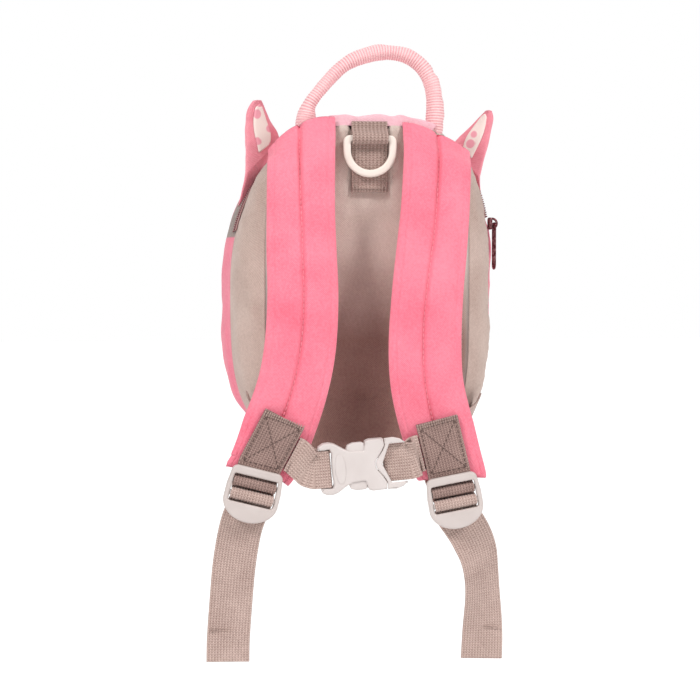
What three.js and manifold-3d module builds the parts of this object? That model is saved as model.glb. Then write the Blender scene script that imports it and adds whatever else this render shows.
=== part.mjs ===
// Toddler harness backpack in millimetres, +Z up.
// The harness side faces -Y and the bag body lies towards +Y.
// The origin is the middle of the back panel's outer face, where the wearer's back meets the bag.
import * as THREE from 'three';
import { mergeVertices } from 'three/addons/utils/BufferGeometryUtils.js';
import Module from 'manifold-3d';

const wasm = await Module();
wasm.setup();

// Driving dimensions of the bag
const BAG_HEIGHT = 236;
const BAG_WIDTH = 200;
const BAG_DEPTH = 140;
const CLOTH = 1.6;
const PANEL_PADDING = 6;
const PANEL_HOLLOW = 5;
const PANEL_FOLD = 2.6;
const SEAM_DEPTH_SHARE = 0.37;
const CLEARANCE = 0.3;

// Driving dimensions of the trim
const TRIM_CLOTH = 1.2;
const ZIP_TAPE_WIDTH = 9;
const ZIP_TAPE = 0.9;
const ZIP_COIL_WIDTH = 3.4;
const ZIP_COIL = 1.4;
const SLIDER_LENGTH = 9;
const SLIDER_WIDTH = 7.4;
const SLIDER_HEIGHT = 3.2;
const SLIDER_ARCH = 2.2;
const PULL_LENGTH = 34;
const PULL_WIDTH = 8.4;
const PULL_THICKNESS = 1.9;
const EAR_THICKNESS = 7;
const EAR_PATCH = 0.8;

// Driving dimensions of the handle and the rein ring
const HANDLE_THICKNESS = 10.4;
const HANDLE_BREADTH = 12.5;
const WEBBING = 1.4;
const REIN_WEBBING_WIDTH = 25;
const REIN_PATCH_LENGTH = 49;
const RING_WIDTH = 37;
const RING_HEIGHT = 29;
const RING_BAR = 5.2;
const RING_THICKNESS = 3.8;
const RING_AXIS_DROP = 14.7;

// Driving dimensions of the harness
const PAD_WIDTH = 49;
const PAD_THICKNESS = 7;
const PAD_STANDOFF = 42;
const STRAP_WEBBING_WIDTH = 29;
const LOCK_WIDTH = 37;
const LOCK_LENGTH = 36.5;
const LOCK_THICKNESS = 4.8;
const LOCK_RAIL = 3.4;
const CHEST_WEBBING_WIDTH = 25;
const BUCKLE_LENGTH = 58.8;
const BUCKLE_WIDTH = 35;
const BUCKLE_THICKNESS = 10;
const BUCKLE_BEVEL = 0.7;

// Colours of the finishes
const FINISH = {
  pink: { color: 0xf78ba0, roughness: 0.85, metalness: 0 },
  pale: { color: 0xeab9c0, roughness: 0.8, metalness: 0 },
  taupe: { color: 0xb8a297, roughness: 0.85, metalness: 0 },
  cream: { color: 0xf8e8dd, roughness: 0.8, metalness: 0 },
  webbing: { color: 0xa08880, roughness: 0.8, metalness: 0 },
  plastic: { color: 0xdcd1cc, roughness: 0.45, metalness: 0 },
  metal: { color: 0x7a4550, roughness: 0.35, metalness: 0.8 },
};

const AROUND = 40;
const X = new THREE.Vector3(1, 0, 0);
const Y = new THREE.Vector3(0, 1, 0);
const OUT = new THREE.Vector3(0, -1, 0);

const part = new THREE.Group();

// Tables and curves

function table(names, rows) {
  return rows.map((row) => Object.fromEntries(names.map((name, i) => [name, row[i]])));
}

function mix(a, b, t) {
  return a + (b - a) * t;
}

// A column's value at a place along another column, straight between the rows
function between(rows, key, place) {
  const last = rows.length - 1;
  let k = 0;
  while (k < last - 1 && rows[k + 1][key] < place) k++;
  const t = (place - rows[k][key]) / (rows[k + 1][key] - rows[k][key]);
  const names = Object.keys(rows[0]);
  return Object.fromEntries(names.map((name) => [name, mix(rows[k][name], rows[k + 1][name], t)]));
}

// Rows on a smooth curve through the table's rows, every column treated alike
function smoothRows(rows, steps) {
  const last = rows.length - 1;
  const names = Object.keys(rows[0]);
  const result = [];
  for (let i = 0; i <= last * steps; i++) {
    const k = Math.min(Math.floor(i / steps), last - 1);
    const t = i / steps - k;
    const row = {};
    for (const name of names) {
      const [a, b, c, d] = [k - 1, k, k + 1, k + 2].map((j) => rows[Math.max(0, Math.min(last, j))][name]);
      const bend = 2 * a - 5 * b + 4 * c - d;
      row[name] = b + 0.5 * t * (c - a + t * (bend + t * (3 * (b - c) + d - a)));
    }
    result.push(row);
  }
  return result;
}

// Closed solids from rows of points

function solid(points, faces) {
  const volume = faces.reduce((sum, [a, b, c]) => {
    const cross = new THREE.Vector3().crossVectors(points[b], points[c]);
    return sum + points[a].dot(cross);
  }, 0);
  const index = faces.flatMap(([a, b, c]) => (volume > 0 ? [a, b, c] : [a, c, b]));
  const geometry = new THREE.BufferGeometry();
  geometry.setAttribute('position', new THREE.Float32BufferAttribute(points.flatMap((p) => p.toArray()), 3));
  geometry.setIndex(index);
  geometry.computeVertexNormals();
  return geometry;
}

// Rings of equal count joined in turn; the two ends are closed across, or joined to each other
function loft(rings, closed = false) {
  const count = rings[0].length;
  const points = rings.flat();
  const faces = [];
  const spans = closed ? rings.length : rings.length - 1;
  for (let i = 0; i < spans; i++) {
    const next = (i + 1) % rings.length;
    for (let j = 0; j < count; j++) {
      const k = (j + 1) % count;
      faces.push([i * count + j, i * count + k, next * count + k]);
      faces.push([i * count + j, next * count + k, next * count + j]);
    }
  }
  if (!closed) {
    for (const [ring, turned] of [[0, true], [rings.length - 1, false]]) {
      let low = 0;
      let high = count - 1;
      while (high - low > 1) {
        const third = (high - low) % 2 ? low + 1 : high - 1;
        const [a, b, c] = [low, third, high].map((j) => ring * count + j);
        faces.push(turned ? [a, c, b] : [a, b, c]);
        if (third === low + 1) low++;
        else high--;
      }
    }
  }
  return solid(points, faces);
}

// A wall between an outer and an inner bowl, each given by rings from the rim to its pole point
function bowl(outer, outerPole, inner, innerPole) {
  const count = outer[0].length;
  const rows = outer.length;
  const points = [...outer.flat(), ...inner.flat(), outerPole, innerPole];
  const faces = [];
  const skin = (start, pole, turned) => {
    const add = (a, b, c) => faces.push(turned ? [a, c, b] : [a, b, c]);
    for (let j = 0; j < count; j++) {
      const k = (j + 1) % count;
      for (let i = 0; i < rows - 1; i++) {
        const here = start + i * count;
        add(here + j, here + k, here + count + k);
        add(here + j, here + count + k, here + count + j);
      }
      const top = start + (rows - 1) * count;
      add(top + j, top + k, pole);
    }
  };
  const innerStart = rows * count;
  skin(0, 2 * innerStart, false);
  skin(innerStart, 2 * innerStart + 1, true);
  for (let j = 0; j < count; j++) {
    const k = (j + 1) % count;
    faces.push([j, innerStart + k, k]);
    faces.push([j, innerStart + j, innerStart + k]);
  }
  return solid(points, faces);
}

// A sheet between two grids of points of the same size
function sheet(front, back) {
  const rows = front.length;
  const columns = front[0].length;
  const points = [...front.flat(), ...back.flat()];
  const under = rows * columns;
  const faces = [];
  const at = (i, j) => i * columns + j;
  for (let i = 0; i < rows - 1; i++) {
    for (let j = 0; j < columns - 1; j++) {
      const [a, b, c, d] = [at(i, j), at(i, j + 1), at(i + 1, j + 1), at(i + 1, j)];
      faces.push([a, b, c], [a, c, d], [under + a, under + c, under + b], [under + a, under + d, under + c]);
    }
  }
  const rim = [];
  for (let j = 0; j < columns; j++) rim.push(at(0, j));
  for (let i = 1; i < rows; i++) rim.push(at(i, columns - 1));
  for (let j = columns - 2; j >= 0; j--) rim.push(at(rows - 1, j));
  for (let i = rows - 2; i > 0; i--) rim.push(at(i, 0));
  rim.forEach((a, i) => {
    const b = rim[(i + 1) % rim.length];
    faces.push([a, under + b, b], [a, under + a, under + b]);
  });
  return solid(points, faces);
}

// A strap: a section carried along stations {at, across, width}; section points are shares of
// half the width and half the thickness
const FLAT = [[-1, -1], [1, -1], [1, 1], [-1, 1]];
const PILLOW = [
  [-1, -0.15], [-0.9, -0.75], [-0.6, -1], [0, -1], [0.6, -1], [0.9, -0.75],
  [1, -0.15], [0.93, 0.6], [0.6, 0.95], [0, 1], [-0.6, 0.95], [-0.93, 0.6],
];

function strap(stations, thickness, section = FLAT) {
  const last = stations.length - 1;
  const rings = stations.map((station, i) => {
    const along = new THREE.Vector3()
      .subVectors(stations[Math.min(last, i + 1)].at, stations[Math.max(0, i - 1)].at)
      .normalize();
    const across = station.across.clone().addScaledVector(along, -station.across.dot(along)).normalize();
    const normal = new THREE.Vector3().crossVectors(across, along);
    const half = (station.thickness ?? thickness) / 2;
    return section.map(([a, n]) =>
      station.at.clone().addScaledVector(across, (a * station.width) / 2).addScaledVector(normal, n * half));
  });
  return loft(rings);
}

// Solids that are joined or cut

function toSolid(geometry) {
  const bare = geometry.clone();
  bare.deleteAttribute('normal');
  bare.deleteAttribute('uv');
  const merged = mergeVertices(bare, 1e-4);
  return new wasm.Manifold(new wasm.Mesh({
    numProp: 3,
    vertProperties: new Float32Array(merged.attributes.position.array),
    triVerts: new Uint32Array(merged.index.array),
  }));
}

function toGeometry(shape) {
  const mesh = shape.getMesh();
  const geometry = new THREE.BufferGeometry();
  geometry.setAttribute('position', new THREE.BufferAttribute(new Float32Array(mesh.vertProperties), 3));
  geometry.setIndex(new THREE.BufferAttribute(new Uint32Array(mesh.triVerts), 1));
  geometry.computeVertexNormals();
  return geometry;
}

function block(x0, x1, y0, y1, z0, z1) {
  const geometry = new THREE.BoxGeometry(x1 - x0, y1 - y0, z1 - z0);
  return toSolid(geometry.translate((x0 + x1) / 2, (y0 + y1) / 2, (z0 + z1) / 2));
}

// An outline of points in its own plane, made a plate of a thickness with a small bevel
function plate(outline, thickness, bevel, hole = null) {
  const shape = new THREE.Shape(outline.map(([a, b]) => new THREE.Vector2(a, b)));
  if (hole) shape.holes.push(new THREE.Path(hole.map(([a, b]) => new THREE.Vector2(a, b))));
  return new THREE.ExtrudeGeometry(shape, {
    depth: thickness - 2 * bevel,
    bevelEnabled: bevel > 0,
    bevelThickness: bevel,
    bevelSize: bevel,
    bevelOffset: -bevel,
    bevelSegments: 1,
    curveSegments: 8,
  }).translate(0, 0, bevel);
}

function arc(cx, cy, radius, from, to, steps) {
  return Array.from({ length: steps + 1 }, (_, i) => {
    const angle = THREE.MathUtils.degToRad(mix(from, to, i / steps));
    return [cx + radius * Math.cos(angle), cy + radius * Math.sin(angle)];
  });
}

function add(name, geometry, finish) {
  const mesh = new THREE.Mesh(geometry, new THREE.MeshStandardMaterial(FINISH[finish]));
  mesh.name = name;
  part.add(mesh);
}

// The bag's body: an outline for each depth, from the back panel's seam to the front's pole.
// width and height are shares of half the bag; the exponents make each corner rounder or squarer.
const BODY = table(['depth', 'width', 'height', 'crownLeft', 'crownRight', 'base'], [
  [0.0, 0.67, 0.985, 4.0, 4.0, 4.0],
  [0.05, 0.73, 0.99, 3.5, 3.7, 3.9],
  [0.12, 0.83, 0.998, 2.9, 3.3, 3.8],
  [0.22, 0.91, 1.0, 2.45, 3.0, 3.7],
  [0.37, 0.95, 0.995, 2.15, 2.8, 3.6],
  [0.45, 0.985, 0.99, 2.15, 2.7, 3.5],
  [0.56, 1.0, 0.975, 2.15, 2.5, 3.3],
  [0.68, 0.98, 0.94, 2.15, 2.35, 3.0],
  [0.8, 0.9, 0.85, 2.1, 2.2, 2.7],
  [0.9, 0.74, 0.68, 2.1, 2.15, 2.4],
  [0.97, 0.46, 0.42, 2.0, 2.05, 2.1],
]);
const SEAM_DEPTH = BAG_DEPTH * SEAM_DEPTH_SHARE;
const GUSSET_START = PANEL_PADDING + CLEARANCE;

function bodyPoint(depth, angle, inset = 0) {
  const row = between(BODY, 'depth', depth / BAG_DEPTH);
  const c = Math.cos(angle);
  const s = Math.sin(angle);
  const crown = c < 0 ? row.crownLeft : row.crownRight;
  const power = 2 / (s < 0 ? row.base : crown);
  const x = ((BAG_WIDTH / 2) * row.width - inset) * Math.sign(c) * Math.abs(c) ** power;
  const z = ((BAG_HEIGHT / 2) * row.height - inset) * Math.sign(s) * Math.abs(s) ** power;
  return new THREE.Vector3(x, depth, z);
}

function gridAngle(step) {
  return (2 * Math.PI * step) / AROUND;
}

// A point that stands proud of the body by a height, square to its outline
function proudPoint(depth, angle, height) {
  const turn = gridAngle(0.5);
  const point = bodyPoint(depth, angle);
  const along = bodyPoint(depth, angle + turn).sub(bodyPoint(depth, angle - turn));
  const normal = new THREE.Vector3(along.z, 0, -along.x).normalize();
  return point.addScaledVector(normal, height);
}

function crownHeight(x, depth) {
  const row = between(BODY, 'depth', depth / BAG_DEPTH);
  const crown = x < 0 ? row.crownLeft : row.crownRight;
  const share = Math.abs(x) / ((BAG_WIDTH / 2) * row.width);
  return (BAG_HEIGHT / 2) * row.height * (1 - share ** crown) ** (1 / crown);
}

function sideReach(z, depth) {
  const row = between(BODY, 'depth', depth / BAG_DEPTH);
  const share = Math.abs(z) / ((BAG_HEIGHT / 2) * row.height);
  return (BAG_WIDTH / 2) * row.width * (1 - share ** row.crownRight) ** (1 / row.crownRight);
}

function bodyRing(depth, inset = 0) {
  return Array.from({ length: AROUND }, (_, i) => bodyPoint(depth, gridAngle(i), inset));
}

// Gusset: a cloth band from the panel's seam to the zip seam, open at both ends
function buildGusset() {
  const inside = BODY.map((row) => row.depth * BAG_DEPTH).filter((y) => y > GUSSET_START && y < SEAM_DEPTH);
  const depths = [GUSSET_START, ...inside, SEAM_DEPTH - CLEARANCE / 2];
  const outer = depths.map((y) => bodyRing(y));
  const inner = depths.map((y) => bodyRing(y, CLOTH)).reverse();
  add('side_gusset', loft([...outer, ...inner], true), 'taupe');
}

// Front: a domed shell from the zip seam to its pole
function buildFront() {
  const start = SEAM_DEPTH + CLEARANCE / 2;
  const depths = [start, ...BODY.map((row) => row.depth * BAG_DEPTH).filter((y) => y > start)];
  const outer = depths.map((y) => bodyRing(y));
  const inner = depths.map((y) => {
    const share = (y - start) / (BAG_DEPTH - start);
    return bodyRing(y, CLOTH).map((p) => p.setY(y - CLOTH * share));
  });
  const pole = new THREE.Vector3(0, BAG_DEPTH, 0);
  add('front_shell', bowl(outer, pole, inner, pole.clone().setY(BAG_DEPTH - CLOTH)), 'pink');
}

// Back panel: padded, a hollow low down and a soft fold on either side of the rein webbing
const PANEL = { rows: 16, columns: 18, edge: 1.6 };

function panelFace(x, z) {
  const across = x / (BAG_WIDTH / 2);
  const up = z / (BAG_HEIGHT / 2);
  const hollow = PANEL_HOLLOW * Math.exp(-(((up + 0.52) / 0.34) ** 2) - (across / 0.42) ** 2);
  const rise = THREE.MathUtils.smoothstep(up, 0.5, 0.9);
  const folds = Math.exp(-(((across + 0.24) / 0.045) ** 2)) + Math.exp(-(((across - 0.24) / 0.045) ** 2));
  return hollow - PANEL_FOLD * rise * folds;
}

function buildPanel() {
  const seam = BODY[0];
  const halfHeight = (BAG_HEIGHT / 2) * seam.height;
  const front = [];
  const back = [];
  for (let i = 0; i <= PANEL.rows; i++) {
    const up = Math.sin(Math.PI * (i / PANEL.rows - 0.5));
    const reach = Math.max(0.45, (1 - Math.abs(up) ** seam.base) ** (1 / seam.base));
    const halfWidth = (BAG_WIDTH / 2) * seam.width * reach;
    const frontRow = [];
    const backRow = [];
    for (let j = 0; j <= PANEL.columns; j++) {
      const side = Math.sin(Math.PI * (j / PANEL.columns - 0.5));
      const rim = Math.max(Math.abs(side), Math.abs(up));
      const edge = PANEL.edge * THREE.MathUtils.smoothstep(rim, 0.86, 1);
      const x = side * halfWidth;
      const z = up * halfHeight;
      const y = panelFace(x, z) * THREE.MathUtils.smoothstep(1 - rim, 0, 0.08) + edge;
      frontRow.push(new THREE.Vector3(x, y, z));
      backRow.push(new THREE.Vector3(x, Math.max(y, 0) * (rim < 0.9 ? 1 : 0) + PANEL_PADDING, z));
    }
    front.push(frontRow);
    back.push(backRow);
  }
  add('back_panel', sheet(front, back), 'taupe');
}

// Crown strip: the pale cloth between the handle's ends, laid over the gusset
const CROWN = { from: 7, to: 13, start: 0.055, end: 0.33, rows: 5 };
const CROWN_SEAT = 1.5 * CLEARANCE;

function buildCrown() {
  const grid = (height) => Array.from({ length: CROWN.rows + 1 }, (_, i) => {
    const depth = BAG_DEPTH * mix(CROWN.start, CROWN.end, i / CROWN.rows);
    const steps = Array.from({ length: CROWN.to - CROWN.from + 1 }, (_, j) => CROWN.from + j);
    return steps.map((step) => proudPoint(depth, gridAngle(step), height));
  });
  add('crown_strip', sheet(grid(CROWN_SEAT + TRIM_CLOTH), grid(CROWN_SEAT)), 'pale');
}

// Zip: the tape over the seam with the coil raised along its middle
const ZIP = { from: 2, to: 18 };

function buildZip() {
  const edge = ZIP_TAPE_WIDTH / 2;
  const coil = ZIP_COIL_WIDTH / 2;
  const seat = CLEARANCE;
  const section = [
    [-edge, seat], [0, seat], [edge, seat], [edge, seat + ZIP_TAPE], [coil, seat + ZIP_TAPE],
    [coil * 0.6, seat + ZIP_TAPE + ZIP_COIL], [-coil * 0.6, seat + ZIP_TAPE + ZIP_COIL],
    [-coil, seat + ZIP_TAPE], [-edge, seat + ZIP_TAPE],
  ];
  const rings = [];
  for (let step = ZIP.from; step <= ZIP.to; step++) {
    rings.push(section.map(([y, height]) => proudPoint(SEAM_DEPTH + y, gridAngle(step), height)));
  }
  add('zip_tape', loft(rings), 'taupe');
}

// Zip slider and pull, in a frame whose x points out of the bag and whose z points up the seam
const SLIDER_TOP = bodyPoint(SEAM_DEPTH, gridAngle(ZIP.from)).z - CLEARANCE;
const SLIDER_BASE = sideReach(SLIDER_TOP - SLIDER_LENGTH, SEAM_DEPTH + SLIDER_WIDTH / 2) + CLEARANCE;
const PULL_AXIS = new THREE.Vector3(
  SLIDER_BASE + SLIDER_HEIGHT + PULL_THICKNESS / 2 + 2 * CLEARANCE,
  SEAM_DEPTH,
  SLIDER_TOP - SLIDER_LENGTH / 2,
);

function buildSlider() {
  const top = SLIDER_TOP;
  const base = SLIDER_BASE;
  const half = SLIDER_WIDTH / 2;
  const y = SEAM_DEPTH;
  const arch = SLIDER_ARCH / 2;
  const eye = PULL_THICKNESS / 2 + 0.5;
  const outer = PULL_AXIS.x + eye + 1.4;
  const shape = block(base, base + SLIDER_HEIGHT, y - half, y + half, top - SLIDER_LENGTH, top)
    .add(block(base + 1, outer, y - arch, y + arch, PULL_AXIS.z - eye - 1.4, PULL_AXIS.z + eye + 1.6))
    .subtract(block(PULL_AXIS.x - eye, PULL_AXIS.x + eye, y - half, y + half, PULL_AXIS.z - eye, PULL_AXIS.z + eye));
  add('zip_slider', toGeometry(shape), 'metal');
}

function buildPull() {
  const half = PULL_WIDTH / 2;
  const bar = PULL_THICKNESS / 2;
  const rail = 1.9;
  const drop = PULL_LENGTH - half;
  const outline = [[half, bar], [-half, bar], ...arc(0, -drop, half, 180, 360, 8)];
  const inside = half - rail;
  const hole = [[inside, -bar], ...arc(0, -drop, inside, 360, 180, 8), [-inside, -bar]];
  const loop = plate(outline, PULL_THICKNESS, 0.4, hole)
    .translate(0, 0, -PULL_THICKNESS / 2)
    .rotateX(Math.PI / 2)
    .rotateZ(Math.PI / 2)
    .translate(PULL_AXIS.x, PULL_AXIS.y, PULL_AXIS.z);
  add('zip_pull', loop, 'metal');
}

// Ears: a padded leaf that rises from the front's top corner.
// Columns are shares: rise 0 to 1; x of half the bag's width, z of half its height, y of its depth.
const EARS = {
  left: {
    side: -1,
    root: { outer: 28, inner: 60 },
    rows: table(['outerX', 'outerZ', 'innerX', 'innerZ', 'outerY', 'innerY', 'full'], [
      [0.83, 0.7, 0.58, 0.92, 0.42, 0.5, 1],
      [0.832, 0.86, 0.6, 0.96, 0.41, 0.5, 1],
      [0.83, 0.99, 0.655, 1.03, 0.405, 0.48, 0.95],
      [0.815, 1.08, 0.69, 1.1, 0.4, 0.46, 0.85],
      [0.775, 1.135, 0.72, 1.14, 0.4, 0.43, 0.6],
    ]),
  },
  right: {
    side: 1,
    root: { outer: 25, inner: 52 },
    rows: table(['outerX', 'outerZ', 'innerX', 'innerZ', 'outerY', 'innerY', 'full'], [
      [0.9, 0.68, 0.72, 0.9, 0.42, 0.5, 1],
      [0.935, 0.82, 0.775, 0.95, 0.41, 0.5, 1],
      [0.97, 0.95, 0.85, 1.01, 0.405, 0.48, 0.95],
      [0.985, 1.04, 0.905, 1.06, 0.4, 0.46, 0.85],
      [0.975, 1.09, 0.945, 1.095, 0.4, 0.43, 0.6],
    ]),
  },
};
const EAR_RING = 12;
const EAR_ROOT_DEPTH = 0.47;

function earSection(ear, row) {
  const place = (x, y, z) => new THREE.Vector3(ear.side * x * BAG_WIDTH / 2, y * BAG_DEPTH, z * BAG_HEIGHT / 2);
  const outer = place(row.outerX, row.outerY, row.outerZ);
  const inner = place(row.innerX, row.innerY, row.innerZ);
  const half = outer.clone().sub(inner).multiplyScalar(0.5);
  const centre = inner.clone().add(half);
  const normal = new THREE.Vector3(half.y, -half.x, 0).normalize().multiplyScalar(-ear.side);
  if (normal.y > 0) normal.negate();
  return { centre, half, normal, thickness: EAR_THICKNESS * row.full };
}

function earPoint(section, along, height) {
  return section.centre.clone()
    .addScaledVector(section.half, along)
    .addScaledVector(section.normal, height);
}

function buildEar(name, ear) {
  const rows = smoothRows(ear.rows, 2);
  const angles = Array.from({ length: EAR_RING }, (_, i) => (2 * Math.PI * i) / EAR_RING);
  const degrees = (share) => mix(ear.root.inner, ear.root.outer, (share + 1) / 2);
  const root = angles.map((angle) => {
    const turn = THREE.MathUtils.degToRad(degrees(Math.cos(angle)));
    const around = ear.side < 0 ? Math.PI - turn : turn;
    const depth = BAG_DEPTH * EAR_ROOT_DEPTH - (EAR_THICKNESS / 2) * Math.sin(angle);
    return proudPoint(depth, around, 2 * CLEARANCE);
  });
  const rings = rows.map((row) => {
    const section = earSection(ear, row);
    return angles.map((angle) => earPoint(section, Math.cos(angle), (section.thickness / 2) * Math.sin(angle)));
  });
  add(`ear_${name}`, loft([root, ...rings]), 'pink');
}

// The light patch lies on the ear's face that looks back, inside its padded rim
const EAR_PATCH_REACH = { across: 0.62, from: 0.04, to: 0.9, rows: 6, columns: 6 };

function buildEarPatch(name, ear) {
  const rows = smoothRows(ear.rows, EAR_PATCH_REACH.rows);
  const last = rows.length - 1;
  const grid = (height) => Array.from({ length: EAR_PATCH_REACH.rows + 1 }, (_, i) => {
    const share = i / EAR_PATCH_REACH.rows;
    const row = rows[Math.round(last * mix(EAR_PATCH_REACH.from, EAR_PATCH_REACH.to, share))];
    const section = earSection(ear, row);
    const taper = EAR_PATCH_REACH.across * (0.6 + 0.4 * Math.sin(Math.PI * mix(0.1, 0.95, share)));
    return Array.from({ length: EAR_PATCH_REACH.columns + 1 }, (_, j) => {
      const along = taper * mix(-1, 1, j / EAR_PATCH_REACH.columns);
      const crown = (section.thickness / 2) * Math.sqrt(1 - along * along);
      return earPoint(section, along, crown + height);
    });
  });
  add(`ear_patch_${name}`, sheet(grid(CLEARANCE + EAR_PATCH), grid(CLEARANCE)), 'cream');
}

// Grab handle: ribbed webbing folded to a round section; columns are shares of half the bag
const HANDLE = table(['x', 'z', 'y', 'size'], [
  [-0.456, 1.0, 0.075, 1.1],
  [-0.455, 1.09, 0.075, 0.95],
  [-0.316, 1.22, 0.085, 0.98],
  [-0.168, 1.31, 0.09, 1.0],
  [-0.014, 1.37, 0.095, 1.0],
  [0.155, 1.396, 0.095, 1.0],
  [0.296, 1.368, 0.09, 1.0],
  [0.4, 1.3, 0.085, 1.02],
  [0.463, 1.2, 0.08, 1.1],
  [0.481, 1.06, 0.075, 1.15],
  [0.475, 0.955, 0.075, 1.25],
]);
const HANDLE_RING = 10;

function buildHandle() {
  const rows = smoothRows(HANDLE, 2);
  const centres = rows.map((row) =>
    new THREE.Vector3(row.x * BAG_WIDTH / 2, row.y * BAG_DEPTH, row.z * BAG_HEIGHT / 2));
  const last = rows.length - 1;
  const seat = CROWN_SEAT + TRIM_CLOTH + 4 * CLEARANCE;
  const rings = rows.map((row, i) => {
    const along = centres[Math.min(last, i + 1)].clone().sub(centres[Math.max(0, i - 1)]).normalize();
    const across = new THREE.Vector3().crossVectors(Y, along).normalize();
    const isEnd = i === 0 || i === last;
    return Array.from({ length: HANDLE_RING }, (_, j) => {
      const angle = (2 * Math.PI * j) / HANDLE_RING;
      const point = centres[i].clone()
        .addScaledVector(across, (HANDLE_THICKNESS / 2) * row.size * Math.cos(angle))
        .addScaledVector(Y, (HANDLE_BREADTH / 2) * row.size * Math.sin(angle));
      if (isEnd) point.z = crownHeight(point.x, Math.max(point.y, GUSSET_START)) + seat;
      return point;
    });
  });
  add('grab_handle', loft(rings), 'pale');
}

// Rein ring: a D with its straight bar up, hanging in the folded webbing
const RING_Z = (BAG_HEIGHT / 2) * BODY[0].height - RING_AXIS_DROP + 1.6;
const RING_HALF_BAR = 1.8;
const LOOP_RADIUS = 2.7 + CLEARANCE + WEBBING / 2;
const REIN_PLY_1 = -(2 * CLEARANCE + WEBBING / 2);
const REIN_PLY_2 = REIN_PLY_1 - WEBBING - CLEARANCE;
const RING_Y = REIN_PLY_2 - WEBBING / 2 - CLEARANCE - RING_THICKNESS / 2 - 0.2;

function buildRing() {
  const radius = RING_WIDTH / 2;
  const low = radius + RING_HALF_BAR - RING_HEIGHT;
  const corner = 4.5;
  const outline = [
    ...arc(radius - corner, RING_HALF_BAR - corner, corner, 0, 90, 3),
    ...arc(corner - radius, RING_HALF_BAR - corner, corner, 90, 180, 3),
    ...arc(0, low, radius, 180, 360, 14),
  ];
  const inner = radius - RING_BAR;
  const hole = [[inner, -RING_HALF_BAR], ...arc(0, low, inner, 360, 180, 14), [-inner, -RING_HALF_BAR]];
  const ring = plate(outline, RING_THICKNESS, 0.9, hole)
    .translate(0, 0, -RING_THICKNESS / 2)
    .rotateX(Math.PI / 2)
    .translate(0, RING_Y, RING_Z);
  add('rein_ring', ring, 'plastic');
}

// Rein webbing: up under the top seam, folded at the patch's foot, and looped round the ring's bar
function buildReinWebbing() {
  const top = (BAG_HEIGHT / 2) * BODY[0].height - 1.5;
  const foot = top - REIN_PATCH_LENGTH;
  const loopStart = RING_Z - LOOP_RADIUS;
  const turn = (REIN_PLY_1 - REIN_PLY_2) / 2;
  const path = [
    [REIN_PLY_1, top], [REIN_PLY_1, RING_Z], [REIN_PLY_1, foot + turn],
    [REIN_PLY_1 - turn, foot],
    [REIN_PLY_2, foot + turn], [REIN_PLY_2, mix(foot, loopStart, 0.5)], [REIN_PLY_2, loopStart - 3.4],
    ...[225, 270, 315, 0, 45, 90].map((degrees) => {
      const angle = THREE.MathUtils.degToRad(degrees);
      return [RING_Y - LOOP_RADIUS * Math.cos(angle), RING_Z + LOOP_RADIUS * Math.sin(angle)];
    }),
    [REIN_PLY_2, RING_Z + LOOP_RADIUS + 3], [REIN_PLY_2, top],
  ];
  const width = Math.min(REIN_WEBBING_WIDTH, RING_WIDTH - 2 * RING_BAR - 4 * CLEARANCE);
  const stations = path.map(([y, z]) => ({ at: new THREE.Vector3(0, y, z), across: X, width }));
  add('rein_webbing', strap(stations, WEBBING), 'webbing');
}

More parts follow.
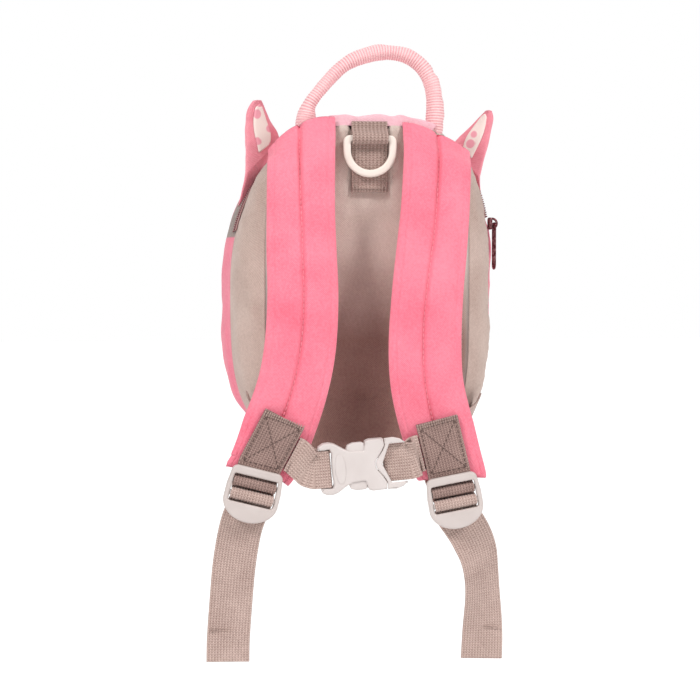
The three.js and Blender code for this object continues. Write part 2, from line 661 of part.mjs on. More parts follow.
// Harness sides. Pad rows: x of half the width, z of half the height, out of the standoff,
// width of PAD_WIDTH and full of PAD_THICKNESS. Lock: its top edge's middle and its tilt in degrees.
const SIDES = {
  left: {
    pad: table(['x', 'z', 'out', 'wide', 'full'], [
      [-0.385, 0.955, 0.1, 0.66, 0.4],
      [-0.445, 0.855, 0.22, 0.83, 0.75],
      [-0.485, 0.72, 0.4, 0.92, 1],
      [-0.496, 0.45, 0.62, 0.95, 1],
      [-0.496, 0.2, 0.76, 0.97, 1],
      [-0.492, -0.05, 0.88, 0.98, 1],
      [-0.512, -0.33, 0.95, 0.985, 1],
      [-0.568, -0.57, 0.99, 0.98, 1],
      [-0.665, -0.82, 1, 0.97, 1],
      [-0.745, -0.96, 0.99, 0.97, 0.95],
      [-0.777, -1.0, 0.985, 0.92, 0.75],
    ]),
    patch: { x: -0.622, z: -0.737, tilt: 22 },
    lock: { x: -0.8, z: -1.02, tilt: 14.5 },
    tail: table(['x', 'z', 'out', 'turn'], [
      [-0.89, -1.28, 1.125, 0],
      [-0.915, -1.345, 1.1, 0],
      [-0.94, -1.45, 1.03, 0],
      [-0.965, -1.6, 0.98, 4],
      [-0.985, -1.8, 0.95, 6],
      [-1.002, -2.0, 0.95, 2],
      [-1.006, -2.135, 0.96, 0],
    ]),
    anchorAngle: 213,
    plug: -1,
    chestFront: table(['s', 't', 'w'], [[-37, 1.5, 1.2], [-33, 0.1, 2.5]]),
    chestBack: table(['s', 't', 'w'], [[-33, 0.1, -2.9], [-37, 2.5, -3.4]]),
  },
  right: {
    pad: table(['x', 'z', 'out', 'wide', 'full'], [
      [0.36, 0.945, 0.1, 0.66, 0.4],
      [0.45, 0.83, 0.22, 0.9, 0.75],
      [0.452, 0.72, 0.4, 0.95, 1],
      [0.425, 0.45, 0.62, 0.97, 1],
      [0.39, 0.2, 0.76, 0.99, 1],
      [0.355, -0.05, 0.88, 1.0, 1],
      [0.335, -0.33, 0.95, 1.02, 1],
      [0.35, -0.57, 0.99, 1.02, 1],
      [0.425, -0.83, 1, 1.02, 1],
      [0.5, -1.0, 0.99, 1.02, 0.95],
      [0.517, -1.045, 0.985, 0.96, 0.75],
    ]),
    patch: { x: 0.402, z: -0.755, tilt: -15 },
    lock: { x: 0.492, z: -1.07, tilt: -10.4 },
    tail: table(['x', 'z', 'out', 'turn'], [
      [0.575, -1.335, 1.125, 2],
      [0.64, -1.42, 1.07, 8],
      [0.7, -1.53, 1.0, 18],
      [0.727, -1.65, 0.96, 26],
      [0.738, -1.8, 0.95, 24],
      [0.737, -2.0, 0.95, 8],
      [0.73, -2.155, 0.96, 2],
    ]),
    anchorAngle: -35,
    plug: 1,
    chestFront: table(['s', 't', 'w'], [[36, 1.2, 1.6], [32, 0.1, 1.3], [24, 0, 0.5]]),
    chestBack: table(['s', 't', 'w'], [[25, 0, -4.3], [33, 0.1, -4.1]]),
  },
};

// The folded webbing lies on the pad in two plies, and the lock's back face lies on them
const PLY_STEP = WEBBING + CLEARANCE;
const CHEST_START = 0.5;
const ANCHOR_DEPTH_SHARE = 0.15;
const LOCK_BACK = PAD_STANDOFF + PAD_THICKNESS / 2 + CLEARANCE + 2 * PLY_STEP;
const BAR_A = { from: 9, to: 12.2, back: 0.2, front: 2.6 };
const BAR_B = { from: 17.2, to: 20.6, back: 1, front: 4.1 };
const BAR_CHAMFER = 0.7;
const WINDOW_START = 5.6;
const TAB_START = 24.2;

// A bar's cross-section in (position, height), its edges chamfered
function barSection(bar) {
  const c = BAR_CHAMFER;
  return [
    [bar.from + c, bar.back], [bar.to - c, bar.back], [bar.to, bar.back + c], [bar.to, bar.front - c],
    [bar.to - c, bar.front], [bar.from + c, bar.front], [bar.from, bar.front - c], [bar.from, bar.back + c],
  ];
}

function barSolid(bar, reach) {
  const ends = [-reach, reach];
  return toSolid(loft(ends.map((u) => barSection(bar).map(([v, w]) => new THREE.Vector3(u, v, w)))));
}

// Middle line of webbing that turns round one edge of a bar, between two angles
function turnRound(bar, far, upper, from, to) {
  const c = BAR_CHAMFER;
  const centre = [far ? bar.to - c : bar.from + c, upper ? bar.front - c : bar.back + c];
  return arc(centre[0], centre[1], c + 1.2 * CLEARANCE + WEBBING / 2, from, to, 3);
}

function lockFrame(side) {
  const angle = THREE.MathUtils.degToRad(side.lock.tilt);
  const origin = new THREE.Vector3(side.lock.x * BAG_WIDTH / 2, -LOCK_BACK, side.lock.z * BAG_HEIGHT / 2);
  const across = new THREE.Vector3(Math.cos(angle), 0, -Math.sin(angle));
  const down = new THREE.Vector3(-Math.sin(angle), 0, -Math.cos(angle));
  const point = (u, v, w) => origin.clone()
    .addScaledVector(across, u).addScaledVector(down, v).addScaledVector(OUT, w);
  return { origin, across, down, point };
}

function place(geometry, frame) {
  const basis = new THREE.Matrix4().makeBasis(frame.across, frame.down, OUT).setPosition(frame.origin);
  const positions = geometry.clone().applyMatrix4(basis);
  if (basis.determinant() < 0) {
    const index = positions.index.array;
    for (let i = 0; i < index.length; i += 3) [index[i + 1], index[i + 2]] = [index[i + 2], index[i + 1]];
  }
  positions.computeVertexNormals();
  return positions;
}

function buildPad(name, side) {
  const stations = smoothRows(side.pad, 2).map((row) => ({
    at: new THREE.Vector3(row.x * BAG_WIDTH / 2, -row.out * PAD_STANDOFF, row.z * BAG_HEIGHT / 2),
    across: X,
    width: row.wide * PAD_WIDTH,
    thickness: row.full * PAD_THICKNESS,
  }));
  add(`shoulder_pad_${name}`, strap(stations, PAD_THICKNESS, PILLOW), 'pink');
}

// Patch webbing: front ply down the pad, round the lock's upper bar, back ply up under it
function buildPatch(name, side) {
  const frame = lockFrame(side);
  const tilt = THREE.MathUtils.degToRad(side.patch.tilt);
  const topAcross = new THREE.Vector3(Math.cos(tilt), 0, -Math.sin(tilt));
  const front = -(CLEARANCE + WEBBING / 2);
  const back = front - PLY_STEP;
  const top = new THREE.Vector3(side.patch.x * BAG_WIDTH / 2, 0, side.patch.z * BAG_HEIGHT / 2);
  const onPad = (share, w) => {
    const end = frame.point(0, 0, w);
    const start = top.clone().setY(end.y);
    return { at: start.lerp(end, share), across: topAcross.clone().lerp(frame.across, share) };
  };
  const slot = mix(WINDOW_START, BAR_A.from, 0.5);
  const low = { ...BAR_A, back: back + WEBBING / 2 + CLEARANCE };
  const loop = [
    [WINDOW_START, front], [slot - 0.4, front + 0.3], [slot, BAR_A.back + 0.3],
    ...turnRound(BAR_A, false, true, 170, 90),
    ...turnRound(BAR_A, true, true, 90, 0),
    ...turnRound(low, true, false, 0, -90),
    [WINDOW_START, back],
  ];
  const stations = [
    onPad(0, front), onPad(0.5, front), onPad(0.95, front),
    ...loop.map(([v, w]) => ({ at: frame.point(0, v, w), across: frame.across })),
    onPad(0.95, back), onPad(0.5, back), onPad(0, back),
  ].map((station) => ({ ...station, width: STRAP_WEBBING_WIDTH }));
  add(`pad_patch_${name}`, strap(stations, WEBBING), 'webbing');
}

// Ladder lock: a frame with a thumb tab, a low upper bar and a raised grip bar
function buildLock(name, side) {
  const half = LOCK_WIDTH / 2;
  const window = half - LOCK_RAIL;
  const corner = 4;
  const waist = LOCK_LENGTH - half * 0.78;
  const tab = Array.from({ length: 11 }, (_, i) => {
    const angle = (Math.PI * i) / 10;
    return [half * Math.cos(angle), waist + half * 0.78 * Math.sin(angle)];
  });
  const shoulder = half - 1.2;
  const outline = [...arc(corner - shoulder, corner, corner, 180, 270, 3),
    ...arc(shoulder - corner, corner, corner, 270, 360, 3), [half, waist * 0.6], ...tab, [-half, waist * 0.6]];
  const shape = toSolid(plate(outline, LOCK_THICKNESS, 1))
    .subtract(block(-window, window, WINDOW_START, TAB_START, -1, LOCK_THICKNESS + 1))
    .add(barSolid(BAR_A, window + 1))
    .add(barSolid(BAR_B, window + 1));
  add(`ladder_lock_${name}`, place(toGeometry(shape), lockFrame(side)), 'plastic');
}

// Adjuster strap: from the bag's lower side, behind the pad, over the grip bar, and down as a tail
function buildAdjuster(name, side) {
  const frame = lockFrame(side);
  const anchorDepth = BAG_DEPTH * ANCHOR_DEPTH_SHARE;
  const anchorAngle = THREE.MathUtils.degToRad(side.anchorAngle);
  const anchorAt = proudPoint(anchorDepth, anchorAngle, 3 * CLEARANCE + WEBBING / 2);
  const anchorAcross = proudPoint(anchorDepth, anchorAngle + 0.05, 0).sub(proudPoint(anchorDepth, anchorAngle - 0.05, 0));
  const slotA = mix(BAR_A.to + 2 * CLEARANCE + WEBBING, BAR_B.from, 0.5);
  const slotB = mix(BAR_B.to, TAB_START, 0.5);
  const rest = -(CLEARANCE + WEBBING / 2);
  const local = [
    [slotA - 2.2, -7], [slotA - 0.5, -3.2], [slotA, -0.5],
    ...turnRound(BAR_B, false, true, 180, 90),
    ...turnRound(BAR_B, true, true, 90, 0),
    [slotB, 1.2], [slotB, 0.4], [TAB_START - 1, rest], [TAB_START + 0.5, rest - 0.6], [TAB_START + 3, rest - 0.5],
  ].map(([v, w]) => ({ at: frame.point(0, v, w), across: frame.across }));
  const entry = local[0].at;
  const behind = frame.point(0, -8, -20);
  const leave = anchorAt.clone().lerp(behind, 0.4).setY(-PAD_STANDOFF * 0.2);
  const strand = new THREE.CatmullRomCurve3([anchorAt, leave, behind, entry]).getPoints(9).slice(0, -1);
  const stations = strand.map((at, i) => {
    const share = THREE.MathUtils.smoothstep(i / strand.length, 0.1, 0.8);
    return { at, across: anchorAcross.clone().normalize().negate().lerp(frame.across, share) };
  });
  const tail = smoothRows(side.tail, 2).map((row) => {
    const turn = THREE.MathUtils.degToRad(row.turn);
    const at = new THREE.Vector3(row.x * BAG_WIDTH / 2, -row.out * PAD_STANDOFF, row.z * BAG_HEIGHT / 2);
    return { at, across: new THREE.Vector3(Math.cos(turn), Math.sin(turn) * side.plug, 0) };
  });
  const all = [...stations, ...local, ...tail].map((station) => ({ ...station, width: STRAP_WEBBING_WIDTH }));
  add(`adjuster_strap_${name}`, strap(all, WEBBING), 'webbing');
}

// Chest buckle, in its own frame: along to the right, up, and out towards the viewer
const BUCKLE = { x: -0.105, z: -1.005, tilt: 5, out: 1.24 };
const BAR_LEFT = { from: -26.3, to: -23.1, back: -1.6, front: 1.4 };
const BAR_RIGHT = { from: 17.8, to: 21, back: -3.2, front: -0.8 };

function buckleFrame() {
  const angle = THREE.MathUtils.degToRad(BUCKLE.tilt);
  const origin = new THREE.Vector3(BUCKLE.x * BAG_WIDTH / 2, -BUCKLE.out * PAD_STANDOFF, BUCKLE.z * BAG_HEIGHT / 2);
  const across = new THREE.Vector3(Math.cos(angle), 0, Math.sin(angle));
  const down = new THREE.Vector3(-Math.sin(angle), 0, Math.cos(angle));
  const point = (s, t, w) => origin.clone()
    .addScaledVector(across, s).addScaledVector(down, t).addScaledVector(OUT, w);
  return { origin, across, down, point };
}

// Half outlines as shares of the buckle's length along and of its width up, mirrored below
const SOCKET_EDGE = table(['s', 't'], [
  [-0.5, 0.36], [-0.49, 0.44], [-0.44, 0.49], [-0.37, 0.5], [-0.31, 0.47], [-0.2, 0.35], [-0.13, 0.3],
  [0.0, 0.285], [0.02, 0.3], [0.045, 0.47], [0.09, 0.495], [0.25, 0.49], [0.26, 0.36], [0.225, 0.25],
  [0.15, 0.08], [0.14, 0],
]);
const SOCKET_NOTCH = table(['s', 't'], [[-0.33, 0], [-0.315, 0.16], [-0.28, 0.24], [-0.33, 0.375], [-0.52, 0.375]]);
const PLUG_EDGE = table(['s', 't'], [
  [0.145, 0], [0.157, 0.08], [0.232, 0.25], [0.267, 0.36], [0.257, 0.49], [0.36, 0.5], [0.44, 0.46],
  [0.5, 0.375], [0.315, 0.375], [0.22, 0.01],
]);

function mirrored(rows) {
  const upper = rows.map((row) => [row.s * BUCKLE_LENGTH, row.t * BUCKLE_WIDTH]);
  const lower = rows.filter((row) => row.t > 0).map((row) => [row.s * BUCKLE_LENGTH, -row.t * BUCKLE_WIDTH]);
  return { upper, lower: lower.reverse() };
}

function buildSocket() {
  const half = BUCKLE_THICKNESS / 2;
  const edge = mirrored(SOCKET_EDGE);
  const notch = mirrored(SOCKET_NOTCH);
  const outline = [...edge.upper, ...edge.lower];
  const cut = [...notch.lower, ...notch.upper];
  const mouth = BUCKLE_WIDTH * 0.4;
  const shape = toSolid(plate(outline, BUCKLE_THICKNESS, BUCKLE_BEVEL).translate(0, 0, -half))
    .subtract(toSolid(plate(cut, BUCKLE_THICKNESS + 2, 0).translate(0, 0, -half - 1)))
    .subtract(block(-0.18 * BUCKLE_LENGTH, 0.03 * BUCKLE_LENGTH, -BUCKLE_WIDTH, BUCKLE_WIDTH, -2.5, 2.5))
    .subtract(block(0, 0.4 * BUCKLE_LENGTH, -mouth, mouth, -2.5, 2.5))
    .add(barSolid(BAR_LEFT, BUCKLE_WIDTH * 0.4).rotate([0, 0, -90]));
  add('buckle_socket', place(toGeometry(shape), buckleFrame()), 'plastic');
}

function buildPlug() {
  const half = BUCKLE_THICKNESS / 2;
  const edge = mirrored(PLUG_EDGE);
  const outline = [...edge.upper, ...edge.lower];
  const reach = BUCKLE_WIDTH * 0.4 - CLEARANCE;
  const gap = BUCKLE_WIDTH * 0.375;
  const arm = (turn) => {
    const prong = [
      [0.225, 0.12], [0.225, 0.375], [0.03, 0.375], [-0.01, 0.44], [-0.1, 0.455], [-0.17, 0.4], [-0.17, 0.28],
      [-0.05, 0.2], [0.1, 0.2], [0.15, 0.12],
    ].map(([s, t]) => [s * BUCKLE_LENGTH, Math.min(t * BUCKLE_WIDTH, s > 0.02 ? reach : BUCKLE_WIDTH) * turn]);
    return toSolid(plate(turn > 0 ? prong.reverse() : prong, 4.4, 0).translate(0, 0, -2.2));
  };
  const shape = toSolid(plate(outline, BUCKLE_THICKNESS, BUCKLE_BEVEL).translate(0, 0, -half))
    .subtract(block(BAR_RIGHT.from - 3, BUCKLE_LENGTH, -gap, gap, -half - 1, half - 2.4))
    .add(arm(1))
    .add(arm(-1))
    .add(barSolid(BAR_RIGHT, BUCKLE_WIDTH * 0.4).rotate([0, 0, -90]));
  add('buckle_plug', place(toGeometry(shape), buckleFrame()), 'plastic');
}

// Chest webbing: from the patch's side edge to the buckle's bar in front, and back behind it
function buildChestLoop(name, side) {
  const lock = lockFrame(side);
  const buckle = buckleFrame();
  const top = new THREE.Vector3(side.patch.x * BAG_WIDTH / 2, -LOCK_BACK, side.patch.z * BAG_HEIGHT / 2);
  const edge = STRAP_WEBBING_WIDTH / 2 + 3 * CLEARANCE;
  const sideUp = top.clone().sub(lock.origin).normalize();
  const sideAcross = new THREE.Vector3(sideUp.z, 0, -sideUp.x);
  const start = top.lerp(lock.origin, CHEST_START).addScaledVector(sideAcross, -side.plug * edge);
  const front = CLEARANCE + WEBBING / 2;
  const at = (out) => start.clone().setY(-LOCK_BACK + out);
  const sense = -side.plug;
  const onBuckle = (row) => ({ at: buckle.point(row.s, row.t, row.w), across: buckle.down });
  const wrap = side.plug < 0
    ? [...turnRound(BAR_LEFT, true, true, 90, 0), ...turnRound(BAR_LEFT, true, false, 0, -90)]
    : [...turnRound(BAR_RIGHT, false, true, 90, 180), ...turnRound(BAR_RIGHT, false, false, 180, 270)];
  const stations = [
    { at: at(front), across: sideUp },
    { at: at(front).addScaledVector(sideAcross, sense * 3).addScaledVector(OUT, 0.6), across: sideUp },
    ...side.chestFront.map(onBuckle),
    ...wrap.map(([s, w]) => onBuckle({ s, t: 0, w })),
    ...side.chestBack.map(onBuckle),
    { at: at(front + PLY_STEP).addScaledVector(sideAcross, sense * 3), across: sideUp },
    { at: at(front + PLY_STEP), across: sideUp },
  ].map((station) => ({ ...station, width: CHEST_WEBBING_WIDTH }));
  add(`chest_loop_${name}`, strap(stations, WEBBING), 'webbing');
}

buildPanel();
buildGusset();
buildCrown();
buildFront();
buildZip();
buildSlider();
buildPull();
for (const [name, ear] of Object.entries(EARS)) {
  buildEar(name, ear);
  buildEarPatch(name, ear);
}
buildHandle();
buildRing();
buildReinWebbing();
for (const [name, side] of Object.entries(SIDES)) {
  buildPad(name, side);
  buildPatch(name, side);
  buildLock(name, side);
  buildAdjuster(name, side);
}
for (const [name, side] of Object.entries(SIDES)) {
  buildChestLoop(name, side);
}
buildSocket();
buildPlug();

export default part;
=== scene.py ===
"""A toddler's harness backpack with ears, seen from its harness side.

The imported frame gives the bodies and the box. Every surface here is worked out in millimetres
in the frame's own axes, +Z up and -Y out of the harness side, and turned into metres at the end.
"""
import math

import bpy
import numpy as np
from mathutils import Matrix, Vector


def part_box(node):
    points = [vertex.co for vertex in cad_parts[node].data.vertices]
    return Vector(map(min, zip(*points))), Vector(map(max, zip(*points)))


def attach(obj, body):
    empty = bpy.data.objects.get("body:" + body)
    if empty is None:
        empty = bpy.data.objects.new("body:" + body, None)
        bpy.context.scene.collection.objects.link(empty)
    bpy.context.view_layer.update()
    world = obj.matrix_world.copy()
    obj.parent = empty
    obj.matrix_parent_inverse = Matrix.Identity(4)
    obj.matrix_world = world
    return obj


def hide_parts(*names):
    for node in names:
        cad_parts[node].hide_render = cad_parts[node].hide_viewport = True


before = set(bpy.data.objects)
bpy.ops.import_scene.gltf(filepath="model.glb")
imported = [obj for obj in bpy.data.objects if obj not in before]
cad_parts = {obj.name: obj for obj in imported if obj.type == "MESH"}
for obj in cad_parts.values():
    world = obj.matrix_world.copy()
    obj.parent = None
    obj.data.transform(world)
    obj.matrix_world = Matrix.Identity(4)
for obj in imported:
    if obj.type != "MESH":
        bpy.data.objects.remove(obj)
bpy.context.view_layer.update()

MM = 0.001

# Driving sizes of the bag, in millimetres
BAG_HEIGHT = 236
BAG_WIDTH = 200
BAG_DEPTH = 140
SEAM_DEPTH = BAG_DEPTH * 0.37
SEAM_GAP = 0.2
PANEL_PADDING = 6
CLOTH = 1.6
WEBBING = 1.4
CLEARANCE = 0.3
PLY_STEP = WEBBING + CLEARANCE

# Driving sizes of the harness and its fittings
PAD_WIDTH = 49
PAD_THICKNESS = 7
PAD_STANDOFF = 42
STRAP_WIDTH = 29
CHEST_WIDTH = 25
REIN_WIDTH = 25
REIN_LENGTH = 49
HEM_LENGTH = 21
LOCK_WIDTH = 37
LOCK_LENGTH = 36.5
LOCK_THICKNESS = 4.8
LOCK_BACK = PAD_STANDOFF + PAD_THICKNESS / 2 + CLEARANCE + 2 * PLY_STEP
WINDOW = {"half": 15.1, "start": 5.6, "end": 24.2}
BAR_A = {"from": 9, "to": 12.2, "back": 0.2, "front": 2.6}
BAR_B = {"from": 17.2, "to": 20.6, "back": 1, "front": 4.1}
BAR_CHAMFER = 0.7
HANDLE_THICKNESS = 10.4
HANDLE_BREADTH = 12.5
HANDLE_RIB = 2.0
RING = {"width": 37, "height": 29, "bar": 5.2, "thickness": 3.8, "half_bar": 1.8, "drop": 13.1}
RING_BAR_REACH = 2.7
BUCKLE_LENGTH = 58.8
BUCKLE_WIDTH = 35
BUCKLE_THICKNESS = 10

# The photograph's camera: a view from a little to the left and above, at a metre or so
CAMERA = {"azimuth": -6.3, "elevation": 3.0, "distance": 1.1, "target": (-0.0133, 0.0, -0.044), "lens": 80.9}

X, Y, Z = np.eye(3)
OUT = -Y


# Tables and curves

def unit(vectors):
    return vectors / np.linalg.norm(vectors, axis=-1, keepdims=True)


def mix(a, b, share):
    return a + (b - a) * share


def ease(low, high, value):
    """Smooth step: 0 before low, 1 past high, 3t^2 - 2t^3 between; low may be the larger."""
    t = np.clip((value - low) / (high - low), 0, 1)
    return t * t * (3 - 2 * t)


def bell(value, centre, width):
    """Gaussian bump: exp(-((value - centre) / width)^2)."""
    return np.exp(-(((value - centre) / width) ** 2))


def circle(count):
    """Angles once round, evenly."""
    return 2 * math.pi * np.arange(count) / count


def squared(wave, power):
    """A sine or cosine made squarer: its sign times its size to a power of at most 1."""
    return np.sign(wave) * np.abs(wave) ** power


def between(low, high, wave):
    """A wave from -1 to 1 fitted between two values."""
    return (low + high) / 2 + (high - low) / 2 * wave


def smooth_rows(rows, count):
    """Catmull-Rom curve through a table's rows, with every column treated alike."""
    rows = np.asarray(rows, float)
    last = len(rows) - 1
    place = np.linspace(0, last, count)
    k = np.minimum(place.astype(int), last - 1)
    t = (place - k)[:, None]
    a, b, c, d = (rows[np.clip(k + step, 0, last)] for step in (-1, 0, 1, 2))
    return b + 0.5 * t * (c - a + t * (2 * a - 5 * b + 4 * c - d + t * (3 * (b - c) + d - a)))


def evenly(rows, step):
    """The same line, sampled again at equal lengths along its first three columns."""
    spans = np.linalg.norm(np.diff(rows[:, :3], axis=0), axis=1)
    length = np.concatenate([[0], np.cumsum(spans)])
    places = np.linspace(0, length[-1], max(3, int(length[-1] / step) + 1))
    return np.stack([np.interp(places, length, column) for column in rows.T], 1), places


def softened(rows, reach):
    """Each row becomes a bell-weighted mean of its neighbours, reach samples to either side."""
    weights = bell(np.arange(-2 * reach, 2 * reach + 1), 0, reach)
    weights /= weights.sum()
    n = 2 * reach
    start = 2 * rows[:1] - rows[n:0:-1]
    end = 2 * rows[-1:] - rows[-2:-n - 2:-1]
    padded = np.concatenate([start, rows, end])
    return np.stack([np.convolve(column, weights, "valid") for column in padded.T], 1)


def ripples(points, seed, pitch):
    """Sum of plane waves with seeded directions and phases, from about -1 to 1."""
    count = 7
    random = np.random.default_rng(seed)
    field = np.zeros(points.shape[:-1])
    for _ in range(count):
        wave = unit(random.normal(size=3)) * 2 * math.pi / (pitch * random.uniform(0.6, 1.6))
        field += np.cos(points @ wave + random.uniform(0, 2 * math.pi))
    return field / math.sqrt(count) / 1.4


# Meshes over grids of points

def mesh_piece(name, points, faces, uv=None):
    """An object at the origin from points in millimetres, faces and a map for each corner."""
    mesh = bpy.data.meshes.new(name)
    mesh.from_pydata((np.asarray(points) * MM).tolist(), [], [list(map(int, face)) for face in faces])
    mesh.polygons.foreach_set("use_smooth", np.full(len(mesh.polygons), True))
    if uv is not None:
        layer = mesh.uv_layers.new(name="weave")
        layer.data.foreach_set("uv", np.asarray(uv, np.float32).ravel())
    mesh.update()
    piece = bpy.data.objects.new(name, mesh)
    bpy.context.scene.collection.objects.link(piece)
    return piece


def grid_piece(name, points, uv=None, ends="capped", flip=None):
    """Mesh over a grid [row, place round], its last place joined to its first.

    Its first and last rows are capped by a fan round their middle, joined to each other or left
    open. uv is a map with one place more. Faces turn outwards by the sign of the volume that
    they close, unless flip says how they turn.
    """
    rows, columns = points.shape[:2]
    index = np.arange(rows * columns).reshape(rows, columns)
    if uv is None:
        uv = np.zeros((rows + 1, columns + 1, 2))
    i = np.arange(rows if ends == "joined" else rows - 1)[:, None]
    j = np.arange(columns)[None, :]
    corners = [(i, j), (i, j + 1), (i + 1, j + 1), (i + 1, j)]
    quads = np.stack([index[a % rows, b % columns] for a, b in corners], -1).reshape(-1, 4)
    faces = [*quads]
    maps = [*np.stack([uv[a, b] for a, b in corners], -2).reshape(-1, 4, 2)]
    flat = points.reshape(-1, 3)
    if ends == "capped":
        for row, order in ((0, [1, 0, 2]), (rows - 1, [0, 1, 2])):
            fan = np.stack([index[row], np.roll(index[row], -1), np.full(columns, len(flat))], 1)
            here = uv[row, :-1]
            fan_map = np.stack([here, uv[row, 1:], np.broadcast_to(here.mean(0), here.shape)], 1)
            faces += [*fan[:, order]]
            maps += [*fan_map[:, order]]
            flat = np.concatenate([flat, points[row].mean(0, keepdims=True)])
    if flip is None:
        a, b, c, d = (flat[quads[:, k]] for k in range(4))
        flip = (np.cross(b - a, c - a) * a).sum() + (np.cross(c - a, d - a) * a).sum() < 0
    if flip:
        faces = [face[::-1] for face in faces]
        maps = [corner[::-1] for corner in maps]
    return mesh_piece(name, flat, faces, np.concatenate(maps))


def outward_normals(points, middle):
    """Unit normals of a grid joined round: its two directions of travel crossed, away from a middle."""
    across = np.roll(points, -1, 1) - np.roll(points, 1, 1)
    normals = unit(np.cross(np.gradient(points, axis=0), across) + 1e-12)
    return normals * np.sign((normals * (points - middle)).sum())


def cloth_piece(name, points, ends="capped", flip=None):
    """Grid piece whose map is its mean lengths in millimetres, round and along."""
    wide = np.concatenate([points, points[:, :1]], 1)
    across = np.linalg.norm(np.diff(wide, axis=1), axis=2).mean(0)
    along = np.linalg.norm(np.diff(points, axis=0), axis=2).mean(1)
    u = np.concatenate([[0], np.cumsum(across)])
    v = np.concatenate([[0], np.cumsum(along)])
    return grid_piece(name, points, np.stack(np.meshgrid(u, v), -1), ends, flip)


def add_wall(piece):
    """Cloth's thickness, inwards from an open surface."""
    wall = piece.modifiers.new("wall", "SOLIDIFY")
    wall.thickness = CLOTH * MM
    wall.offset = -1


def carried(at, across, a, n):
    """Section points a across and n out, carried along a path: at + across * a + normal * n."""
    along = unit(np.gradient(at, axis=0))
    across = unit(across - along * (across * along).sum(1, keepdims=True))
    normal = np.cross(along, across)
    return at[:, None] + across[:, None] * a[..., None] + normal[:, None] * n[..., None]


def beads(name, places, axes):
    """Small closed capsules: each point is place + x * first axis + y * second + z * third."""
    stations = np.array([-1, -0.8, 0.8, 1])
    radii_there = np.array([0.35, 1, 1, 0.35])
    tip = 1.08
    sides = 6
    angle = circle(sides)
    tube = np.stack([np.repeat(stations, sides), np.outer(radii_there, np.cos(angle)).ravel(),
                     np.outer(radii_there, np.sin(angle)).ravel()], 1)
    shape = np.concatenate([tube, [[-tip, 0, 0], [tip, 0, 0]]])
    k = np.arange(sides)
    m = (k + 1) % sides
    first = sides * np.arange(3)[:, None]
    quads = np.stack([first + k, first + m, first + sides + m, first + sides + k], -1).reshape(-1, 4)
    tips = len(tube) + 0 * k
    fans = np.stack([m, k, tips, 3 * sides + k, 3 * sides + m, tips + 1], -1).reshape(-1, 3)
    points = (places[:, None] + np.einsum("pk,nkc->npc", shape, axes)).reshape(-1, 3)
    step = len(shape) * np.arange(len(places))[:, None, None]
    return mesh_piece(name, points, [*(quads + step).reshape(-1, 4), *(fans + step).reshape(-1, 3)])


def seam_line(points, way=OUT):
    """Points of a line of stitches, and one outward direction for all of them."""
    points = np.asarray(points, float)
    return points, np.tile(way, (len(points), 1))


def crossed_box(corners):
    """Seams along the four sides of a box and its two diagonals."""
    legs = [(0, 1), (1, 2), (2, 3), (3, 0), (0, 2), (1, 3)]
    return [seam_line([corners[i], corners[j]]) for i, j in legs]


def stitches(name, lines, length, gap, radius):
    """Thread over cloth: beads along lines of points and outward normals, each bead length long,
    a gap from the next and sunk by a share of its radius."""
    sink = 0.35
    places, axes = [], []
    for points, normals in lines:
        line, _ = evenly(np.column_stack([points, normals]), length + gap)
        middle = 0.5 * (line[1:, :3] + line[:-1, :3])
        along = unit(line[1:, :3] - line[:-1, :3])
        normal = unit(0.5 * (line[1:, 3:] + line[:-1, 3:]))
        side = np.cross(normal, along)
        places.append(middle + normal * radius * (1 - 2 * sink))
        axes.append(np.stack([along * length / 2, side * radius, normal * radius], 1))
    return beads(name, np.concatenate(places), np.concatenate(axes))


# Materials

def colour(red, green, blue):
    """Linear colour of screen values from 0 to 255."""
    values = np.array([red, green, blue]) / 255
    linear = np.where(values <= 0.04045, values / 12.92, ((values + 0.055) / 1.055) ** 2.4)
    return (*linear, 1.0)


class Shade:
    """A number in a material's nodes; arithmetic on it adds Math nodes."""

    def __init__(self, finish, socket):
        self.finish = finish
        self.socket = socket

    def math(self, operation, *values):
        return self.finish.node("ShaderNodeMath", {"operation": operation}, dict(enumerate(values)))

    def __add__(self, other):
        return self.math("ADD", self, other)

    def __sub__(self, other):
        return self.math("SUBTRACT", self, other)

    def __rsub__(self, other):
        return self.math("SUBTRACT", other, self)

    def __mul__(self, other):
        return self.math("MULTIPLY", self, other)

    def sine(self):
        return self.math("SINE", self)

    def clamped(self):
        return self.finish.node("ShaderNodeClamp", {}, {"Value": self})

    __radd__ = __add__
    __rmul__ = __mul__


